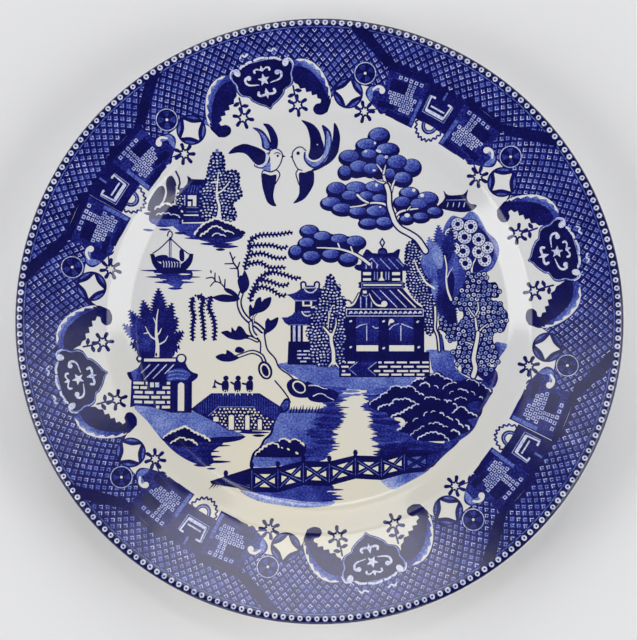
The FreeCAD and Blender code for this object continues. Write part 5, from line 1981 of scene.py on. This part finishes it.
def right_rocks(rng):
    """The large rocks right of the path, under many white ridges."""
    art = blob([(20.4, -35.2), (22, -33), (25, -32), (26.6, -30.2), (29, -28.6), (31.4, -26.9), (35, -27.8),
                (38, -26.8), (39, -25.4), (42, -24), (44.4, -22.4), (47.6, -21.6), (50, -21), (52.4, -23),
                (55.4, -24.6), (59, -25), (61, -24.2), (65, -24), (67, -25.8), (70, -27.6), (72.4, -30),
                (69.6, -32), (68.6, -35), (67, -40), (62, -41.4), (64, -44), (61.6, -46.4), (58, -47.8),
                (54, -50), (41, -50), (38, -47.4), (33, -46), (36, -43), (34, -40.4), (29.4, -40.4),
                (28, -38.4), (24, -37.6)], 0.96)
    art += blob([(62, -35), (66, -33.6), (68.4, -35.4), (66.4, -38), (63.6, -38)], 0.74)
    ridges = (([(21, -35), (22.5, -33.3), (25, -32.3), (26.5, -30.5), (28.7, -29.8), (30, -27.8),
                (32.5, -27.2), (35, -28.2), (37.5, -27.3), (39.5, -28), (40.5, -30), (43.5, -31)], 0.62),
              ([(38.5, -26.2), (40, -25), (42, -24.3), (44, -24.3), (45, -22.7), (47.5, -22.8),
                (49.5, -21.8), (51.5, -24), (54, -24.2), (55.5, -25.2)], 0.62),
              ([(42, -27), (43.6, -26), (45, -26), (46, -27.6)], 0.6), ([(48, -27), (49.6, -28)], 0.4),
              ([(24.5, -37), (25.5, -35.9), (28, -35), (29.5, -35.3), (31, -34), (32, -32.4), (34, -33.2),
                (36, -32.4), (38.2, -33.6), (40, -34.2)], 0.7),
              ([(30, -40.2), (32, -39.2), (34.6, -38.6), (36, -37.2), (38, -37), (39.4, -35.4),
                (41.4, -34.8)], 0.72), ([(51.6, -28.4), (53, -27), (55, -26.1), (57.2, -25.9)], 0.5),
              ([(54.4, -30.4), (56, -29.4)], 0.4),
              ([(61.6, -24.9), (65, -24.8), (66, -26.6), (66.6, -27.2)], 0.55),
              ([(68, -26.6), (69.4, -28), (71.6, -29.6)], 0.5),
              ([(58, -28.6), (60, -28.8), (62, -29.8)], 0.55), ([(63.4, -29.4), (65, -31)], 0.5),
              ([(67, -31.8), (68.2, -32.4)], 0.6),
              ([(44, -32.6), (46.5, -31.8), (48, -32.2), (49, -33), (50.4, -33)], 0.5),
              ([(52.2, -33), (53.6, -34), (55, -33.4)], 0.7), ([(56.6, -33), (59, -32), (61.4, -33)], 0.45),
              ([(56, -34.6), (57.6, -36), (55.4, -38.4)], 0.55),
              ([(58, -36.3), (60, -36), (61.4, -37.4), (62.4, -38.6), (64, -39), (65.8, -40)], 0.65),
              ([(43.6, -39.6), (45, -38)], 0.5), ([(46.6, -38.2), (48.4, -37.8)], 0.6),
              ([(50.4, -38.4), (52, -39.5)], 0.75), ([(53, -40), (55.6, -41.4)], 0.6),
              ([(57, -41), (58.6, -43.4), (60, -44.4)], 0.65), ([(61, -43.6), (62.4, -45.2)], 0.9),
              ([(32.6, -45.6), (34, -45), (35.4, -43.6), (36.6, -42.4)], 0.8),
              ([(39, -42), (41, -40.6)], 0.5), ([(38, -47.8), (40, -46.4), (42, -45), (43.6, -44)], 0.4),
              ([(45.6, -43), (47.6, -43), (49.4, -42.4), (51, -44), (53.6, -44.4)], 0.5),
              ([(55, -46), (57, -46), (58.4, -47.4)], 0.75),
              ([(41, -49.6), (43, -48), (45, -47.4), (46.6, -46.4), (49, -47.2), (51, -47.2), (52.4, -48.8),
                (54, -50)], 0.62),)
    for points, width in ridges:
        art += ridge(points, rng, width * 0.78, 0.12)
    return art


def draw_near_rocks(rng):
    """The two groups of rocks in front."""
    return left_rocks(rng) + right_rocks(rng)


FENCE_TOP = [(-45, -67.2), (-39, -65.2), (-28.4, -61.8), (-17.4, -61.4), (-6.8, -58.9), (4, -59.1),
             (14.6, -56.6), (25.8, -56.9), (35.2, -55.2), (45, -55.6)]
FENCE_LOW = [(-45, -68), (-33, -70), (-28.4, -71), (-17.4, -71.2), (-6.8, -68.2), (4, -68.4), (15, -65.4),
             (25.8, -66), (35.2, -63.4), (44.6, -62.4)]


FENCE_POSTS = (-39.0, -28.2, -17.3, -6.7, 4.1, 15.0, 25.8, 35.4)
FENCE_END = 45.5
FAR_POSTS = 30.0


def on_rail(x, rail):
    """The height of a rail of the fence at a place across."""
    return float(np.interp(x, *zip(*rail)))


def fence_bay(left, right):
    """One bay: four light triangles round a dark cross, with a paler line along each arm of the cross."""
    top = on_rail(left, FENCE_TOP) - 1.5
    low = [on_rail(x, FENCE_LOW) + 1.2 for x in (left, right)]
    far = left > FAR_POSTS

    def at(u, v):
        return left + (right - left) * u, low[0] + (low[1] - low[0]) * u + (top - low[0]) * v

    art = []
    for corners in (((0.14, 0.3), (0.14, 0.72), (0.36, 0.52)), ((0.88, 0.3), (0.88, 0.7), (0.64, 0.48)),
                    ((0.3, 0.9), (0.72, 0.92), (0.52, 0.66)), ((0.3, 0.1), (0.7, 0.08), (0.48, 0.36))):
        art += patch([at(u, v) for u, v in corners], 0.5 if far else BARE)
    for first, second in (((0.08, 0.04), (0.92, 0.94)), ((0.08, 0.96), (0.92, 0.06))):
        art += stroke([at(*first), at(*second)], 1.4, 0.95, ends=False)
        art += stroke([at(*first), at(*second)], 0.3, 0.72 if far else 0.48, ends=False)
    return art


def fence_post(x):
    """A square post with a round knob and a pale line down its middle."""
    top, low = on_rail(x, FENCE_TOP), on_rail(x, FENCE_LOW)
    art = box(x - 0.75, low, x + 0.75, top + 0.6, 0.95)
    art += blob(oval(x, top + 1.6, 0.95, 1.3, steps=8), 0.93, 3)
    return art + stroke([(x, top - 0.6), (x, low + 0.8)], 0.34, 0.55, ends=False)


def draw_fence():
    """The zigzag fence across the front, with tufts at its left end."""
    art = patch(FENCE_TOP + FENCE_LOW[::-1], 0.95)
    for left, right in zip(FENCE_POSTS, FENCE_POSTS[1:] + (FENCE_END,)):
        art += fence_bay(left, right)
    for x in FENCE_POSTS:
        art += fence_post(x)
    art += stroke(FENCE_TOP, 0.9, 0.97) + stroke(FENCE_LOW[1:], 0.9, 0.96)
    for k in range(9):
        x = -44.4 + 1.5 * k
        y = on_rail(x, FENCE_TOP)
        art += patch([(x, y - 1.0), (x + 0.9, y - 1.2), (x - 1.6, y - 3.6 - 0.2 * k)], 0.9)
    return art


def draw_washes(rng):
    """Pale washes and dark land below the fence."""
    art = blob([(-33, -71), (-28, -71.6), (-20, -72.4), (-6, -74.6), (6, -75.2), (4, -77), (-6, -77.9),
                (-15, -77), (-26, -75)], (0.22, 0.34, (-30, -73), (0, -76)))
    art += blob([(-30, -70.6), (-17, -71), (-7, -68), (4, -68.2), (6, -70), (3, -71.4), (7, -73.2),
                 (5, -75.2), (-5, -75.4), (-14, -74.2), (-22, -73)], (0.56, 0.72, (-22, -72), (4, -73)))
    art += water([(0, 10.2, -70.4), (2, 7.4, -71.8), (1, 9.6, -73.1), (2, 10.2, -74.4)], 0.7, rng, 0.9)
    art += blob([(25.4, -65.4), (32, -63.6), (38, -62), (45.6, -61.6), (44, -63.4), (40, -65.8), (34, -69),
                 (31, -70.4), (27.4, -68.6)], (0.5, 0.2, (34, -64), (31, -70)))
    art += blob([(44, -55.6), (50, -55.4), (54, -54), (50, -58), (46, -61.6), (36, -63), (36, -56)], 0.86)
    return art


def draw_centre():
    """Draws the scene from the back to the front and prints it."""
    rng = random.Random(CENTRE_SEED)
    layers = [
        ("washes", draw_washes(rng)),
        ("left_shore", draw_left_land(rng)),
        ("ground_and_water", draw_ground(rng)),
        ("near_rocks", draw_near_rocks(rng)),
        ("fence", draw_fence()),
        ("footbridge", draw_bridge(rng)),
        ("travellers", draw_travellers()),
        ("gate_house", draw_gate_house()),
        ("far_island", draw_island(rng)),
        ("boat", draw_boat(rng)),
        ("pavilion", draw_pavilion()),
        ("blossom_tree", draw_blossom_tree()),
        ("right_trees", draw_right_trees(rng)),
        ("pagoda", draw_pagoda()),
        ("cypress", draw_cypress(rng)),
        ("pine", draw_pine()),
        ("far_roof", draw_far_roof()),
        ("willow", draw_willow()),
        ("birds", draw_birds()),
    ]
    printed([(name, moved(art, scale=CENTRE_SCALE)) for name, art in layers])


draw_centre()


# ---- Studio ----

RIM_TOP = SURFACE[:, 1].max() * MM
TABLE_REACH = 6.0
SKY = (0.9, 0.93, 1.0, 1.0)
SKY_STRENGTH = 0.1


def make_floor():
    """A flat pale table, far larger than the picture."""
    e = TABLE_REACH
    mesh = bpy.data.meshes.new("table")
    mesh.from_pydata([(-e, -e, 0.0), (e, -e, 0.0), (e, e, 0.0), (-e, e, 0.0)], [], [(0, 1, 2, 3)])
    table = placed("table", mesh)
    nodes = Nodes("pale_table")
    nodes.set(Base_Color=srgb(241, 241, 242), Roughness=0.9)
    table.data.materials.append(nodes.material)


def softbox(name, azimuth, lean, distance, size, radiance, tint=(1.0, 1.0, 1.0)):
    """A flat light that faces the plate.  Azimuth runs from +X towards +Y, and lean is from straight up."""
    lamp = bpy.data.lights.new(name, "AREA")
    lamp.shape = "RECTANGLE"
    lamp.size, lamp.size_y = size
    lamp.energy = radiance * math.pi * size[0] * size[1]
    lamp.color = tint
    obj = placed(name, lamp)
    a, b = math.radians(azimuth), math.radians(lean)
    away = Vector((math.cos(a) * math.sin(b), math.sin(a) * math.sin(b), math.cos(b)))
    obj.location = away * distance
    obj.rotation_euler = away.to_track_quat("Z", "Y").to_euler()


def make_studio():
    """A dim even sky and soft lights: two large sides, back, low front, window and two small panels."""
    world = bpy.data.worlds.new("studio")
    bpy.context.scene.world = world
    world.use_nodes = True
    background = world.node_tree.nodes["Background"]
    background.inputs["Color"].default_value = SKY
    background.inputs["Strength"].default_value = SKY_STRENGTH
    softbox("left_box", 191.0, 60.0, 1.6, (1.0, 1.2), 4.3)
    softbox("right_box", 347.0, 60.0, 1.6, (1.2, 1.2), 3.7)
    softbox("back_box", 90.0, 62.0, 1.7, (1.4, 1.0), 2.1)
    softbox("front_low", 268.0, 81.0, 1.7, (1.6, 0.18), 6.0)
    softbox("window", 87.0, 22.0, 1.3, (0.44, 0.2), 4.6, (0.97, 0.96, 1.0))
    softbox("left_panel", 149.5, 19.7, 1.3, (0.15, 0.2), 1.6)
    softbox("right_panel", 30.5, 19.7, 1.3, (0.15, 0.2), 1.6)
    view = bpy.context.scene.view_settings
    view.view_transform = "Standard"
    view.look = "None"


CAMERA_DISTANCE = 1.0
CAMERA_ELEVATION = 85.0
PICTURE_SIDE = 0.2673
SENSOR_WIDTH = 36.0
AIM = (-0.0004, -0.0009)


def make_camera():
    """Looks almost straight down, with the plate's lip filling the picture as the framing asks."""
    data = bpy.data.cameras.new("camera")
    data.sensor_width = SENSOR_WIDTH
    data.lens = SENSOR_WIDTH * CAMERA_DISTANCE / PICTURE_SIDE
    camera = placed("camera", data)
    e = math.radians(CAMERA_ELEVATION)
    back = Vector((0.0, -math.cos(e), math.sin(e)))
    camera.location = Vector((AIM[0], AIM[1], RIM_TOP)) + back * CAMERA_DISTANCE
    camera.rotation_euler = back.to_track_quat("Z", "Y").to_euler()
    bpy.context.scene.camera = camera


make_floor()
make_studio()
make_camera()
